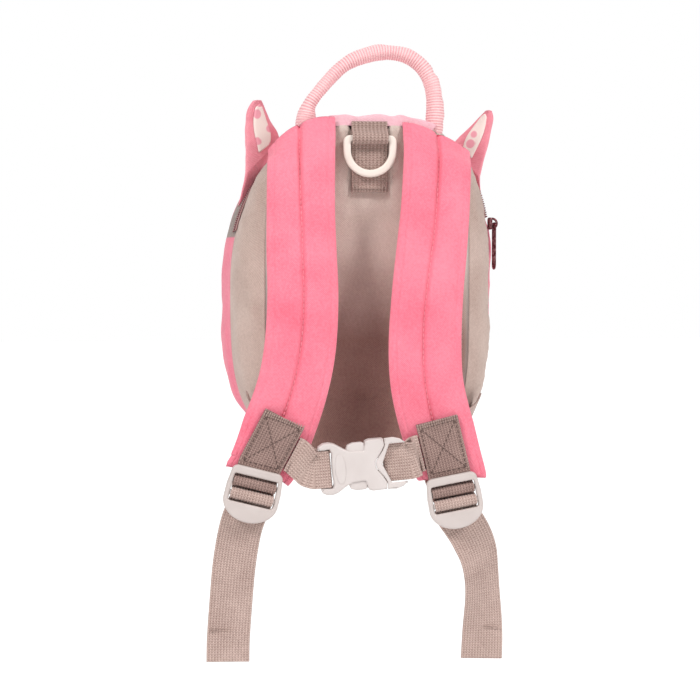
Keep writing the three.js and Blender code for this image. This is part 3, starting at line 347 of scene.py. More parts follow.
class Finish:
    """A material whose nodes are added one by one around a principled shader."""

    def __init__(self, name, **shader):
        self.material = bpy.data.materials.new(name)
        self.material.use_nodes = True
        self.tree = self.material.node_tree
        self.tree.nodes.clear()
        self.shader = self.tree.nodes.new("ShaderNodeBsdfPrincipled")
        output = self.tree.nodes.new("ShaderNodeOutputMaterial")
        self.tree.links.new(self.shader.outputs[0], output.inputs[0])
        self.feed(self.shader, shader)

    def feed(self, node, inputs):
        for key, value in inputs.items():
            socket = node.inputs[key.replace("_", " ") if isinstance(key, str) else key]
            if isinstance(value, Shade):
                self.tree.links.new(value.socket, socket)
            else:
                socket.default_value = value

    def node(self, kind, settings, inputs, output=0):
        node = self.tree.nodes.new(kind)
        for key, value in settings.items():
            if key == "stops":
                ramp = node.color_ramp.elements
                for k, (place, tint) in enumerate(value):
                    element = ramp[k] if k < len(ramp) else ramp.new(place)
                    element.position = place
                    element.color = tint
            else:
                setattr(node, key, value)
        self.feed(node, inputs)
        return Shade(self, node.outputs[output])

    def place(self):
        """Object coordinates in millimetres."""
        source = self.node("ShaderNodeTexCoord", {}, {}, "Object")
        return self.node("ShaderNodeVectorMath", {"operation": "SCALE"}, {0: source, "Scale": 1000.0})

    def parts(self, vector, count=3):
        """The first few numbers of a vector."""
        return [self.node("ShaderNodeSeparateXYZ", {}, {0: vector}, k) for k in range(count)]

    def weave_map(self):
        """The piece's own map, split into its two numbers."""
        return self.parts(self.node("ShaderNodeUVMap", {"uv_map": "weave"}, {}), 2)

    def noise(self, scale, detail=2.0):
        return self.node("ShaderNodeTexNoise", {}, {"Vector": self.place(), "Scale": scale, "Detail": detail})

    def tint(self, share, low, high):
        """Colour between low and high by a share."""
        return self.node("ShaderNodeMix", {"data_type": "RGBA"}, {0: share, 6: low, 7: high}, 2)

    def bump(self, height, relief):
        """Normal over a height from 0 to 1 that stands for a relief in millimetres."""
        return self.node("ShaderNodeBump", {}, {"Height": height, "Distance": relief * MM, "Strength": 1.0})


def fabric(name, roughness=0.85, sheen=0.2):
    """Start of a fabric: dull, with a soft sheen."""
    return Finish(name, Roughness=roughness, Sheen_Weight=sheen, Sheen_Roughness=0.5)


def woven(name, low, high, pitch, relief, second=None):
    """Woven cloth between two colours: two crossed sines, with slow and fine changes.

    second gives a share over the piece and the two colours that the cloth turns into by it.
    """
    finish = fabric(name)
    u, v = finish.weave_map()
    turn = 2 * math.pi / pitch
    threads = (u * turn).sine() * (v * turn).sine()
    fine = finish.noise(0.6, 3.0)
    share = (finish.noise(0.03) * 0.9 + fine * 0.75 + threads * 0.25 - 0.35).clamped()
    if second:
        share_of, *pair = second
        turned = share_of(finish)
        low, high = (finish.tint(turned, own, other) for own, other in zip((low, high), pair))
    finish.feed(finish.shader, {
        "Base Color": finish.tint(share, low, high),
        "Normal": finish.bump((threads + fine) * 0.6, relief),
    })
    return finish.material


def beside_left_ear(finish):
    """Share of taupe on the front: 1 above, to the left of and nearer than the corner's planes."""
    x, y, z = finish.parts(finish.place())
    above = ((z - CORNER["above"]) * 0.8).clamped()
    left = ((CORNER["left_of"] - x) * 0.3).clamped()
    near = ((CORNER["nearer_than"] - y) * 0.3).clamped()
    return above * left * near


def panel_painted_shade_share(finish):
    """Painted shade on the panel: a share that is 0 low down in the hollow, where the colours are darkened as
    shade, and 1 towards the top.
    """
    return (finish.parts(finish.place())[2] * 0.016 + 0.6).clamped()


def ribbed(name, low, high):
    """Webbing: ribs on the map's first number, whole ribs wide, and a herringbone along the second."""
    finish = fabric(name, 0.8)
    u, v = finish.weave_map()
    ribs = (u * (2 * math.pi) + math.pi / 2).sine()
    slant = (v * (2 * math.pi / 1.7) + ribs * 1.5).sine()
    fine = finish.noise(0.8)
    slow = finish.noise(0.05)
    # ribs lightens the colour on the rib tops and darkens it in the grooves between them: painted shade.
    share = (ribs * 0.18 + slant * 0.2 + fine * 0.6 + slow * 0.5 - 0.03).clamped()
    finish.feed(finish.shader, {
        "Base Color": finish.tint(share, low, high),
        "Normal": finish.bump(slant * 0.5 + fine * 0.5, 0.25),
    })
    return finish.material


def handle_webbing():
    """Pale webbing folded round: painted shade, a fine dark line in the groove between each cross rib and the
    next.
    """
    finish = fabric("handle_webbing", 0.8, 0.25)
    _, v = finish.weave_map()
    ribs = (v * (2 * math.pi / HANDLE_RIB) - math.pi / 2).sine()
    share = (ribs * 0.42 + finish.noise(0.7) * 0.6 + finish.noise(0.06) * 0.4 + 0.12).clamped()
    finish.feed(finish.shader, {
        "Base Color": finish.tint(share, colour(222, 150, 156), colour(250, 206, 206)),
        "Normal": finish.bump(finish.noise(1.2), 0.12),
    })
    return finish.material


def moulded(name, low, high, roughness=0.42):
    """Moulded plastic: a fine matt grain, faint flow marks and slightly uneven gloss."""
    finish = Finish(name, Specular_IOR_Level=0.45, Coat_Roughness=0.35)
    grain = finish.noise(2.4, 3.0)
    flow = finish.noise(0.06)
    finish.feed(finish.shader, {
        "Base Color": finish.tint((flow * 0.8 + grain * 0.2).clamped(), low, high),
        "Roughness": flow * 0.12 + grain * 0.1 + (roughness - 0.11),
        "Normal": finish.bump(grain, 0.04),
    })
    return finish.material


def painted_metal(name, low, high):
    """Dark paint over cast metal: worn light patches and small pits."""
    finish = Finish(name, Metallic=0.75)
    wear = finish.noise(0.35, 4.0)
    pits = finish.noise(3.0)
    stops = [(0.45, (0, 0, 0, 1)), (0.75, (1, 1, 1, 1))]
    worn = finish.node("ShaderNodeValToRGB", {"stops": stops}, {0: wear})
    finish.feed(finish.shader, {
        "Base Color": finish.tint(worn, low, high),
        "Roughness": pits * 0.2 + 0.25,
        "Normal": finish.bump(pits, 0.05),
    })
    return finish.material


def printed(name, ground, tints):
    """Printed cotton: scattered spots of several sizes in a few tints, on a plain ground."""
    finish = fabric(name)
    place = finish.place()
    shown = finish.tint(finish.noise(1.4) * 0.3, ground, colour(236, 214, 204))
    for scale, size, tint in tints:
        cells = finish.node("ShaderNodeTexVoronoi", {}, {"Vector": place, "Scale": scale, "Randomness": 0.75})
        spot = finish.node("ShaderNodeMapRange", {}, {0: cells, 1: size, 2: size * 1.25, 3: 1.0, 4: 0.0})
        shown = finish.tint(spot, shown, tint)
    finish.feed(finish.shader, {"Base Color": shown, "Normal": finish.bump(finish.noise(2.0), 0.15)})
    return finish.material


# The taupe corner beside the left ear, in millimetres, and the object's finishes
CORNER = {"above": 35.0, "left_of": -66.0, "nearer_than": 84.0}
PINK = woven("pink_cloth", colour(232, 98, 122), colour(251, 150, 168), 1.25, 0.16)
EAR_PINK = woven("ear_cloth", colour(236, 122, 140), colour(250, 168, 180), 1.25, 0.16)
FRONT_PINK = woven("front_cloth", colour(222, 104, 128), colour(244, 146, 163), 1.25, 0.16,
                   (beside_left_ear, colour(128, 112, 106), colour(168, 150, 142)))
TAUPE = woven("gusset_cloth", colour(168, 140, 128), colour(214, 192, 181), 1.5, 0.2)
# Painted shade: the panel's colours are darker low down in the hollow between the pads and lighter towards
# the top.
PANEL_TAUPE_PAINTED_SHADE = woven("panel_face_cloth_painted_shade", colour(122, 88, 79), colour(164, 130, 119), 1.5, 0.2,
                    (panel_painted_shade_share, colour(190, 166, 155), colour(230, 212, 202)))
PALE = woven("crown_cloth", colour(222, 160, 172), colour(244, 200, 208), 1.4, 0.16)
TAPE = woven("zip_tape_cloth", colour(150, 104, 104), colour(190, 146, 142), 1.2, 0.12)
TAUPE_WEBBING = ribbed("harness_webbing", colour(140, 112, 103), colour(210, 184, 174))
REIN_WEBBING = ribbed("rein_webbing", colour(118, 90, 81), colour(194, 166, 156))
# The patch webbing is a darker copy of the harness webbing: painted shade.
SHADED_PATCH_WEBBING = ribbed("patch_webbing_painted_shade", colour(98, 72, 65), colour(176, 146, 137))
THREAD = woven("taupe_thread", colour(150, 124, 115), colour(200, 174, 163), 0.6, 0.05)
DARK_THREAD = woven("dark_thread", colour(72, 50, 45), colour(110, 84, 76), 0.6, 0.05)
PINK_THREAD = woven("pink_thread", colour(238, 128, 148), colour(252, 166, 180), 0.6, 0.05)
HANDLE = handle_webbing()
PLASTIC = moulded("pale_plastic", colour(198, 187, 183), colour(220, 211, 208))
LOCK_PLASTIC = moulded("lock_plastic", colour(188, 175, 170), colour(210, 199, 195))
RING_PLASTIC = moulded("ring_plastic", colour(228, 213, 202), colour(245, 234, 224), 0.38)
METAL = painted_metal("zip_metal", colour(104, 40, 50), colour(188, 142, 144))
TEETH = moulded("zip_teeth_plastic", colour(112, 52, 58), colour(142, 78, 82), 0.5)
PRINT = printed("ear_print", colour(250, 234, 226), [
    (0.1, 0.3, colour(244, 166, 180)),
    (0.08, 0.12, colour(208, 164, 208)),
])


def dress(piece, material, body="bag", replaces=()):
    """Material, body and stood-for nodes of one piece."""
    piece.data.materials.append(material)
    if replaces:
        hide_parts(*replaces)
    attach(piece, body)
    return piece


def sew(name, lines, length, gap, radius, thread=THREAD):
    """Stitches along lines, as a piece of their own."""
    dress(stitches(name, lines, length, gap, radius), thread)


# The bag's body. Columns: depth, width and height as shares, and the outline's exponents
# at the crown's left and right and at the base.
BODY = [
    (0.0, 0.67, 0.985, 4.0, 4.0, 4.0),
    (0.05, 0.73, 0.99, 3.5, 3.7, 3.9),
    (0.12, 0.83, 0.998, 2.9, 3.3, 3.8),
    (0.22, 0.91, 1.0, 2.45, 3.0, 3.7),
    (0.37, 0.95, 0.995, 2.15, 2.8, 3.6),
    (0.45, 0.985, 0.99, 2.15, 2.7, 3.5),
    (0.56, 1.0, 0.975, 2.15, 2.5, 3.3),
    (0.68, 0.98, 0.94, 2.15, 2.35, 3.0),
    (0.8, 0.9, 0.85, 2.1, 2.2, 2.7),
    (0.9, 0.74, 0.68, 2.1, 2.15, 2.4),
    (0.97, 0.46, 0.42, 2.0, 2.05, 2.1),
    (1.0, 0.012, 0.011, 2.0, 2.0, 2.0),
]
BODY_FINE = smooth_rows(BODY, 1200)
PANEL_WIDTH = BAG_WIDTH * BODY[0][1]
PANEL_HEIGHT = BAG_HEIGHT * BODY[0][2]


def body_point(depth, angle):
    """Superellipse at a depth: each side's power is two over its exponent."""
    width, height, left, right, base = (np.interp(depth / BAG_DEPTH, BODY_FINE[:, 0], BODY_FINE[:, k])
                                        for k in range(1, 6))
    c, s = np.cos(angle), np.sin(angle)
    power = 2 / np.where(s < 0, base, np.where(c < 0, left, right))
    x = BAG_WIDTH / 2 * width * squared(c, power)
    z = BAG_HEIGHT / 2 * height * squared(s, power)
    return np.stack(np.broadcast_arrays(x, depth, z), -1).astype(float)


def proud_point(depth, angle, height):
    """A point over the body by a height, square to its outline at that depth."""
    turn = 0.02
    along = body_point(depth, angle + turn) - body_point(depth, angle - turn)
    normal = unit(np.stack([along[..., 2], 0 * along[..., 0], -along[..., 0]], -1))
    return body_point(depth, angle) + normal * np.asarray(height)[..., None]


def outline_angles(count):
    """Angles that step evenly along the seam's outline, not evenly in angle."""
    fine = np.linspace(0, 2 * math.pi, 4001)
    points = body_point(SEAM_DEPTH, fine)
    length = np.concatenate([[0], np.cumsum(np.linalg.norm(np.diff(points, axis=0), axis=1))])
    return np.interp(np.linspace(0, length[-1], count, endpoint=False), length, fine)


def build_gusset():
    """Band of cloth from the panel's seam to the zip seam, pulled in by fine level creases."""
    angles = outline_angles(300)
    depths = np.linspace(PANEL_PADDING + CLEARANCE, SEAM_DEPTH - SEAM_GAP, 48)
    points = body_point(depths[:, None], angles[None, :])
    normals = outward_normals(points, points.mean((0, 1)))
    sewn = 9
    middle = ease(0, sewn, depths - depths[0]) * ease(0, sewn, depths[-1] - depths)
    upright = 1 - ease(0.6, 0.95, np.abs(np.sin(angles)))
    stretched = points * np.array([0.35, 0.25, 1.0])
    creases = ripples(stretched, 5, 9) * 0.55 * upright[None, :] + ripples(points, 6, 34) * 0.7
    points = points + normals * (creases * middle[:, None])[..., None]
    piece = cloth_piece("gusset_cloth", points, ends="open", flip=True)
    add_wall(piece)
    dress(piece, TAUPE, replaces=["side_gusset"])


def build_front():
    """Domed front: the body's outlines closed to a pole, with soft dents and a puckered rim."""
    angles = outline_angles(300)
    first = np.searchsorted(BODY_FINE[:, 0], (SEAM_DEPTH + SEAM_GAP) / BAG_DEPTH)
    places = np.linspace(0, 1, 96) ** 1.1
    shares = np.interp(mix(first, len(BODY_FINE) - 1, places), np.arange(len(BODY_FINE)), BODY_FINE[:, 0])
    points = body_point(shares[:, None] * BAG_DEPTH, angles[None, :])
    normals = outward_normals(points, points.mean((0, 1)))
    rim = ease(0, 0.12, places)
    soft = ripples(points, 11, 60) * 1.3 + ripples(points, 12, 24) * 0.4
    puckers = ripples(points * np.array([1.0, 0.2, 1.0]), 13, 9) * 0.5 * bell(places, 0.07, 0.06)[:, None]
    points = points + normals * ((soft * rim[:, None] + puckers) * ease(1.0, 0.9, places)[:, None])[..., None]
    points[-1] = points[-1].mean(0)
    piece = cloth_piece("front_cloth", points, ends="open", flip=True)
    pole = piece.modifiers.new("pole", "WELD")
    pole.merge_threshold = 0.01 * MM
    add_wall(piece)
    dress(piece, FRONT_PINK, replaces=["front_shell"])


def panel_face(x, z):
    """Depth of the panel's face: a hollow low down, and a fold on either side of the rein patch."""
    across = x / (BAG_WIDTH / 2)
    up = z / (BAG_HEIGHT / 2)
    hollow = 5 * np.exp(-(((up + 0.52) / 0.34) ** 2) - (across / 0.42) ** 2)
    folds = bell(np.abs(across), 0.19, 0.055) * (1 + 0.5 * bell(np.abs(across), 0.15, 0.02))
    height = ease(0.3, 0.75, up) * 2.8 + ease(0.9, 0.97, up) * 2
    return hollow - height * folds


def build_panel():
    """Padded back panel: a crowned front face and a flat back, rolled together at the seam."""
    up = np.sin(math.pi * (np.linspace(0, 1, 170) - 0.5))
    side = np.sin(math.pi * (np.linspace(0, 1, 130) - 0.5))
    reach = np.maximum(0.45, (1 - np.abs(up) ** 4) ** 0.25)
    x = side[None, :] * reach[:, None] * PANEL_WIDTH / 2
    z = np.broadcast_to(up[:, None] * PANEL_HEIGHT / 2, x.shape)
    rim = np.maximum(np.abs(side)[None, :], np.abs(up)[:, None])
    place = np.stack([x, 0 * x, z], -1)
    puffs = (ripples(place, 21, 46) * 0.5 + ripples(place, 22, 13) * 0.16) * ease(1, 0.9, rim)
    y = panel_face(x, z) * ease(1.0, 0.92, rim) + 2.2 * ease(0.9, 1.0, rim) ** 2 + puffs
    front = np.stack([x, y, z], -1)
    spread = np.interp(PANEL_PADDING / BAG_DEPTH, BODY_FINE[:, 0], BODY_FINE[:, 1]) / BODY[0][1]
    back = np.stack([x * spread, PANEL_PADDING + np.maximum(y - 2.4, 0) * (rim < 0.9), z * 1.006], -1)
    piece = cloth_piece("back_panel_pad", np.concatenate([front, back[:, ::-1]], 1))
    dress(piece, PANEL_TAUPE_PAINTED_SHADE, replaces=["back_panel"])
    lines = [seam_line(front[4:-4, column] + OUT * 0.15) for column in (5, -6)]
    sew("panel_seam_stitches", lines, 2.6, 0.9, 0.32)


def build_crown():
    """Pale strip over the gusset between the handle's ends: shallow folds along it, and a rolled
    edge that tucks down over the panel's rim."""
    angles = np.linspace(math.radians(63), math.radians(117), 110)
    depths = np.linspace(-0.6, BAG_DEPTH * 0.33, 90)
    grid_angles, grid_depths = np.meshgrid(angles, depths)
    inwards = grid_depths - depths[0]
    folds = ripples(proud_point(grid_depths, grid_angles, 0) * [0.9, 0.3, 0.3], 31, 16)
    dip = bell(grid_angles, math.radians(103), 0.03) + 0.5 * bell(grid_angles, math.radians(86), 0.02)
    roll = bell(inwards, 3.4, 2.6) * (1.3 + 0.5 * folds - 1.0 * dip)
    lift = 0.3 * (folds + 1) + roll
    rounded = ease(-0.8, 1.2, inwards)
    tuck = 5.0 * ease(2.4, 0, inwards)
    top = proud_point(grid_depths, grid_angles, 0.5 + 1.15 * rounded + lift - tuck)
    under = proud_point(grid_depths, grid_angles, 0.4 + 0.6 * lift - tuck)
    piece = cloth_piece("crown_cloth", np.concatenate([top, under[:, ::-1]], 1))
    dress(piece, PALE, replaces=["crown_strip"])
    seam_row = 26
    line = proud_point(depths[seam_row], angles, 1.65 + lift[seam_row])
    sew("crown_stitches", [seam_line(line, Z)], 2.4, 0.9, 0.3)


def build_zip():
    """Zip over the seam: a tape with rolled edges, and two facing rows of teeth."""
    angles = np.linspace(math.radians(18), math.radians(162), 700)
    half, raised, edge = 4.5, 1.2, 1.0
    depth, height = np.array([
        (-half, 0.3), (half, 0.3), (half, edge), (half - 0.4, raised), (0.3, 1.1), (-0.3, 1.1),
        (0.4 - half, raised), (-half, edge),
    ]).T[:, None]
    tape = cloth_piece("zip_tape_cloth", proud_point(SEAM_DEPTH + depth, angles[:, None], height))
    dress(tape, TAPE, replaces=["zip_tape"])
    pitch, stand = 1.6, 1.75
    line = proud_point(SEAM_DEPTH, angles, stand)
    normals = unit(proud_point(SEAM_DEPTH, angles, stand + 1) - line)
    rows, _ = evenly(np.column_stack([line, normals]), pitch)
    along = unit(np.gradient(rows[:, :3], axis=0))
    sense = np.where(np.arange(len(rows)) % 2, 1.0, -1.0)[:, None]
    axes = np.stack([np.tile(Y * 1.25, (len(rows), 1)), along * 0.55, rows[:, 3:] * 0.62], 1)
    dress(beads("zip_teeth", rows[:, :3] + Y * sense * 0.5, axes), TEETH)


# Ears. Columns: outer x and z, inner x and z, outer and inner depth, and fullness, as shares.
# root holds the angles at which its inner and outer ends meet the bag.
EARS = {
    "left": {"side": -1, "root": (60, 28), "rows": [
        (0.83, 0.7, 0.58, 0.92, 0.42, 0.5, 1),
        (0.832, 0.86, 0.6, 0.96, 0.41, 0.5, 1),
        (0.83, 0.99, 0.655, 1.03, 0.405, 0.48, 0.95),
        (0.815, 1.08, 0.69, 1.1, 0.4, 0.46, 0.85),
        (0.775, 1.135, 0.72, 1.14, 0.4, 0.43, 0.6),
    ]},
    "right": {"side": 1, "root": (52, 25), "rows": [
        (0.9, 0.68, 0.72, 0.9, 0.42, 0.5, 1),
        (0.935, 0.82, 0.775, 0.95, 0.41, 0.5, 1),
        (0.97, 0.95, 0.85, 1.01, 0.405, 0.48, 0.95),
        (0.985, 1.04, 0.905, 1.06, 0.4, 0.46, 0.85),
        (0.975, 1.09, 0.945, 1.095, 0.4, 0.43, 0.6),
    ]},
}
EAR_THICKNESS = 7


def ear_frames(ear, count):
    """Centre, half width and facing of each of an ear's cross-sections, from its table."""
    rows = smooth_rows(ear["rows"], count)
    scale = np.array([BAG_WIDTH / 2 * ear["side"], BAG_DEPTH, BAG_HEIGHT / 2])
    outer = rows[:, [0, 4, 1]] * scale
    inner = rows[:, [2, 5, 3]] * scale
    half = (outer - inner) / 2
    facing = unit(np.stack([half[:, 1], -half[:, 0], 0 * half[:, 0]], 1)) * -ear["side"]
    facing *= np.where(facing[:, 1:2] > 0, -1, 1)
    return inner + half, half, facing, EAR_THICKNESS * rows[:, 6]


def build_ear(name, ear):
    """Stuffed ear: flattened rings from a root on the bag to a rounded tip, with a seam round its rim."""
    centre, half, facing, thick = ear_frames(ear, 60)
    c, s = np.cos(circle(48)), np.sin(circle(48))
    a = squared(c, 0.9)[:, None]
    n = squared(s, 0.8)[:, None] * thick[:, None, None] / 2
    rings = centre[:, None] + half[:, None] * a + facing[:, None] * n
    inner, outer = ear["root"]
    turn = np.radians(mix(inner, outer, (c + 1) / 2))
    around = math.pi - turn if ear["side"] < 0 else turn
    root = proud_point(BAG_DEPTH * 0.47 - EAR_THICKNESS / 2 * s, around, 0.4)
    lead = np.stack([mix(root, rings[0], share) for share in np.linspace(0, 1, 12, endpoint=False)])
    onwards = centre[-1] - centre[-4]
    tip = centre[-1] + onwards * 0.5
    close = np.stack([mix(rings[-1], tip, 1 - math.cos(t)) + onwards * 0.55 * math.sin(t)
                      for t in np.linspace(0.25, 1.35, 6)])
    points = np.concatenate([lead, rings, close])
    normals = outward_normals(points, points.mean(1, keepdims=True))
    rim = bell(np.abs(s), 0, 0.16)[None, :]
    points = points + normals * (ripples(points, 40 + ear["side"], 12) * 0.35 - 0.5 * rim)[..., None]
    piece = cloth_piece(f"ear_{name}_plush", points)
    dress(piece, EAR_PINK, replaces=[f"ear_{name}"])


def build_ear_patch(name, ear):
    """Printed patch on the ear's face that looks back, over the same crowned surface."""
    frames = np.column_stack(ear_frames(ear, 61))
    share = np.linspace(0, 1, 40)
    place = np.interp(mix(0.12, 0.86, share), np.linspace(0, 1, 61), np.arange(61))
    frames = np.stack([np.interp(place, np.arange(61), column) for column in frames.T], 1)
    centre, half, facing = frames[:, None, :3], frames[:, None, 3:6], frames[:, None, 6:9]
    taper = 0.56 * (0.55 + 0.45 * np.sin(math.pi * mix(0.05, 0.95, share))) * ease(1.02, 0.88, share) ** 0.5
    aside = np.linspace(-1, 1, 24)
    along = taper[:, None] * aside[None, :]
    crown = frames[:, 9:] / 2 * np.sqrt(1 - along ** 2)
    edge = ease(1.0, 0.75, np.abs(aside))[None, :]

    def layer(height):
        lift = crown + 0.25 + (height - 0.25) * (0.55 + 0.45 * edge)
        return centre + half * along[..., None] + facing * lift[..., None]

    piece = cloth_piece(f"ear_patch_{name}_print", np.concatenate([layer(1.1), layer(0.3)[:, ::-1]], 1))
    dress(piece, PRINT, replaces=[f"ear_patch_{name}"])


# Grab handle. Columns: x, z, depth and size, as shares.
HANDLE_ROWS = [
    (-0.44, 0.885, 0.07, 1.45),
    (-0.43, 1.0, 0.075, 1.28),
    (-0.398, 1.09, 0.075, 0.86),
    (-0.27, 1.225, 0.085, 0.87),
    (-0.153, 1.318, 0.09, 0.94),
    (-0.014, 1.372, 0.095, 1.0),
    (0.155, 1.396, 0.095, 1.0),
    (0.296, 1.368, 0.09, 1.0),
    (0.4, 1.3, 0.085, 1.02),
    (0.463, 1.2, 0.08, 1.1),
    (0.481, 1.06, 0.075, 1.2),
    (0.47, 0.87, 0.07, 1.3),
]


def build_handle():
    """Webbing folded to a round: an arch of rings whose radius beats once for each cross rib."""
    scale = np.array([BAG_WIDTH / 2, BAG_HEIGHT / 2, BAG_DEPTH, 1])
    x, z, y, size = (smooth_rows(HANDLE_ROWS, 200) * scale).T
    rows, along = evenly(np.column_stack([x, y, z, size]), 0.32)
    at = rows[:, :3]
    angle = circle(36)
    rib = 0.38 * (np.abs(np.sin(math.pi * along / HANDLE_RIB)) ** 0.6 - 0.6)[:, None]
    uneven = ripples(at, 51, 26) * 0.03 + ripples(at, 52, 9) * 0.02
    share = along / along[-1]
    kink = bell(share, 0.735, 0.016)
    waves = (ripples(at, 53, 12) * 0.11 * ease(0.3, 0.5, share) - 0.3 * kink)[:, None]
    inner = np.maximum(np.cos(angle), 0) ** 2
    radius = (rows[:, 3] * (1 + uneven))[:, None] + waves * inner
    a = (HANDLE_THICKNESS / 2 * radius + rib) * np.cos(angle)
    n = (HANDLE_BREADTH / 2 * radius + rib) * np.sin(angle)
    piece = cloth_piece("grab_handle_webbing", carried(at, Y, n, a))
    dress(piece, HANDLE, replaces=["grab_handle"])


# Webbing

def webbing(name, stations, width, ribs, replaces, step=0.8, material=None):
    """Strap of webbing along stations of place and direction across: a flat section, its faces
    raised by a cosine for each rib, its edges round, and the corners of its path softened."""
    rows, _ = evenly(np.asarray(stations, float), step)
    rows = softened(rows, 1)
    at, across = rows[:, :3], rows[:, 3:6]
    along = np.concatenate([[0], np.cumsum(np.linalg.norm(np.diff(at, axis=0), axis=1))])
    half = WEBBING / 2
    flat = width / 2 - half
    groove = 0.2
    face = np.linspace(-1, 1, ribs * 6 + 1)
    turn = np.linspace(math.pi / 2, -math.pi / 2, 6)[1:-1]
    relief = half - groove * (0.5 - 0.5 * np.cos(math.pi * ribs * (face + 1)))
    a = np.concatenate([face * flat, flat + half * np.cos(turn), -face * flat, -flat - half * np.cos(turn)])
    n = np.concatenate([relief, half * np.sin(turn), -relief[::-1], -half * np.sin(turn)])
    u = np.concatenate([a, a[:1]]) / flat * ribs / 2 + ribs / 2
    piece = grid_piece(name, carried(at, across, a, n), np.stack(np.meshgrid(u, along), -1))
    dress(piece, material or TAUPE_WEBBING, replaces=replaces)


def rows_of(places, across):
    """Stations of one strap: each place with the direction across it."""
    places = np.asarray(places, float)
    return np.column_stack([places, np.broadcast_to(across, places.shape)])


RING_AXIS_Z = PANEL_HEIGHT / 2 - RING["drop"]
REIN_PLY_1 = -(2 * CLEARANCE + WEBBING / 2)
REIN_PLY_2 = REIN_PLY_1 - WEBBING - CLEARANCE
RING_Y = REIN_PLY_2 - WEBBING / 2 - CLEARANCE - RING["thickness"] / 2 - 0.2
LOOP_RADIUS = RING_BAR_REACH + CLEARANCE + WEBBING / 2


def build_rein_webbing():
    """Rein webbing: down the panel, folded at the patch's foot, and looped round the ring's bar."""
    top = PANEL_HEIGHT / 2 - 1.5
    foot = top - REIN_LENGTH
    start = RING_AXIS_Z - LOOP_RADIUS
    turn = (REIN_PLY_1 - REIN_PLY_2) / 2
    angle = np.radians(np.arange(225, 451, 15))
    path = [
        (REIN_PLY_1, top), (REIN_PLY_1, foot + turn), (REIN_PLY_1 - turn, foot), (REIN_PLY_2, foot + turn),
        (REIN_PLY_2, start - 3.4),
        *zip(RING_Y - LOOP_RADIUS * np.cos(angle), RING_AXIS_Z + LOOP_RADIUS * np.sin(angle)),
        (REIN_PLY_2, RING_AXIS_Z + LOOP_RADIUS + 3), (REIN_PLY_2, top),
    ]
    places = [(0, y, z) for y, z in path]
    webbing("rein_webbing_woven", rows_of(places, X), REIN_WIDTH, 9, ["rein_webbing"], material=REIN_WEBBING)
    face = REIN_PLY_2 - WEBBING / 2
    half = REIN_WIDTH / 2 - 2.2
    low, high = foot + 3, start - 5
    box = crossed_box([(-half, face, low), (half, face, low), (half, face, high), (-half, face, high)])
    sew("rein_patch_stitches", box, 2.2, 0.8, 0.3)
    row = [seam_line([(x, face, foot + 0.2), (x, face, foot + 3.4)])
           for x in np.linspace(-half - 1, half + 1, 12)]
    sew("rein_patch_edge_stitches", row, 2.9, 0.3, 0.42)


# Mouldings between an outer and an inner outline

def radii(outline, centre, angles):
    """Distance from a centre to an outline, for each angle."""
    offset = np.asarray(outline, float) - centre
    shares = np.linspace(0, 1, 12, False)
    dense = np.concatenate([mix(offset, np.roll(offset, -1, 0), share) for share in shares])
    found = np.arctan2(dense[:, 1], dense[:, 0]) % (2 * math.pi)
    order = np.argsort(found)
    reach = np.hypot(dense[:, 0], dense[:, 1])
    return np.interp(angles, found[order], reach[order], period=2 * math.pi)


def band(outer, inner, centre, thickness, count=160):
    """Flat ring in its own plane: between two outlines, its four long edges rounded by quarter circles.

    Returns a grid [place around, place round the section] of the two plane axes and the height.
    """
    angles = circle(count)
    low = radii(inner, centre, angles)[:, None]
    high = radii(outer, centre, angles)[:, None]
    rounding = np.minimum(1.5, 0.45 * (high - low))
    quarter = np.linspace(0, math.pi / 2, 5)[None, :]
    aside = rounding * (1 - np.cos(quarter))
    rise = thickness / 2 - rounding + rounding * np.sin(quarter)
    reach = np.concatenate([low + aside, high - aside[:, ::-1]], 1)
    height = np.concatenate([rise, rise[:, ::-1]], 1)
    reach = np.concatenate([reach, reach[:, ::-1]], 1)
    height = np.concatenate([height, -height[:, ::-1]], 1)
    u = centre[0] + reach * np.cos(angles)[:, None]
    v = centre[1] + reach * np.sin(angles)[:, None]
    return np.stack([u, v, height], -1)


def arc(cx, cy, radius, start, end, steps):
    angle = np.radians(np.linspace(start, end, steps + 1))
    return [*zip(cx + radius * np.cos(angle), cy + radius * np.sin(angle))]


def corner_arcs(half_width, edge, radius, steps, below=False):
    """An outline's two rounded corners at one edge: right, left above; or left, right below."""
    x = half_width - radius
    if below:
        y = edge + radius
        return [*arc(-x, y, radius, 180, 270, steps), *arc(x, y, radius, 270, 360, steps)]
    y = edge - radius
    return [*arc(x, y, radius, 0, 90, steps), *arc(-x, y, radius, 90, 180, steps)]


def build_ring():
    """D-shaped ring: a band between its outer and inner outlines, hanging by its straight bar."""
    half = RING["half_bar"]
    radius = RING["width"] / 2
    inside = radius - RING["bar"]
    low = radius + half - RING["height"]
    outer = [*corner_arcs(radius, half, 4.5, 8), *arc(0, low, radius, 180, 360, 40)]
    inner = [*corner_arcs(inside, -half, 2.2, 5), *arc(0, low, inside, 180, 360, 40)]
    u, v, height = np.moveaxis(band(outer, inner, np.array([0, low + 1.5]), RING["thickness"]), -1, 0)
    points = np.stack([u, RING_Y + height, RING_AXIS_Z + v], -1)
    piece = grid_piece("rein_ring_moulding", points, ends="joined")
    dress(piece, RING_PLASTIC, body="rein_ring", replaces=["rein_ring"])


def bent_rod(path, flat, radius, closed=False):
    """Round section carried along a path in one plane: path + radius * (cos * side + sin * flat)."""
    along = np.roll(path, -1, 0) - np.roll(path, 1, 0) if closed else np.gradient(path, axis=0)
    side = unit(np.cross(along, flat))
    angle = circle(16)[None, :, None]
    return path[:, None] + radius * (np.cos(angle) * side[:, None] + np.sin(angle) * flat)


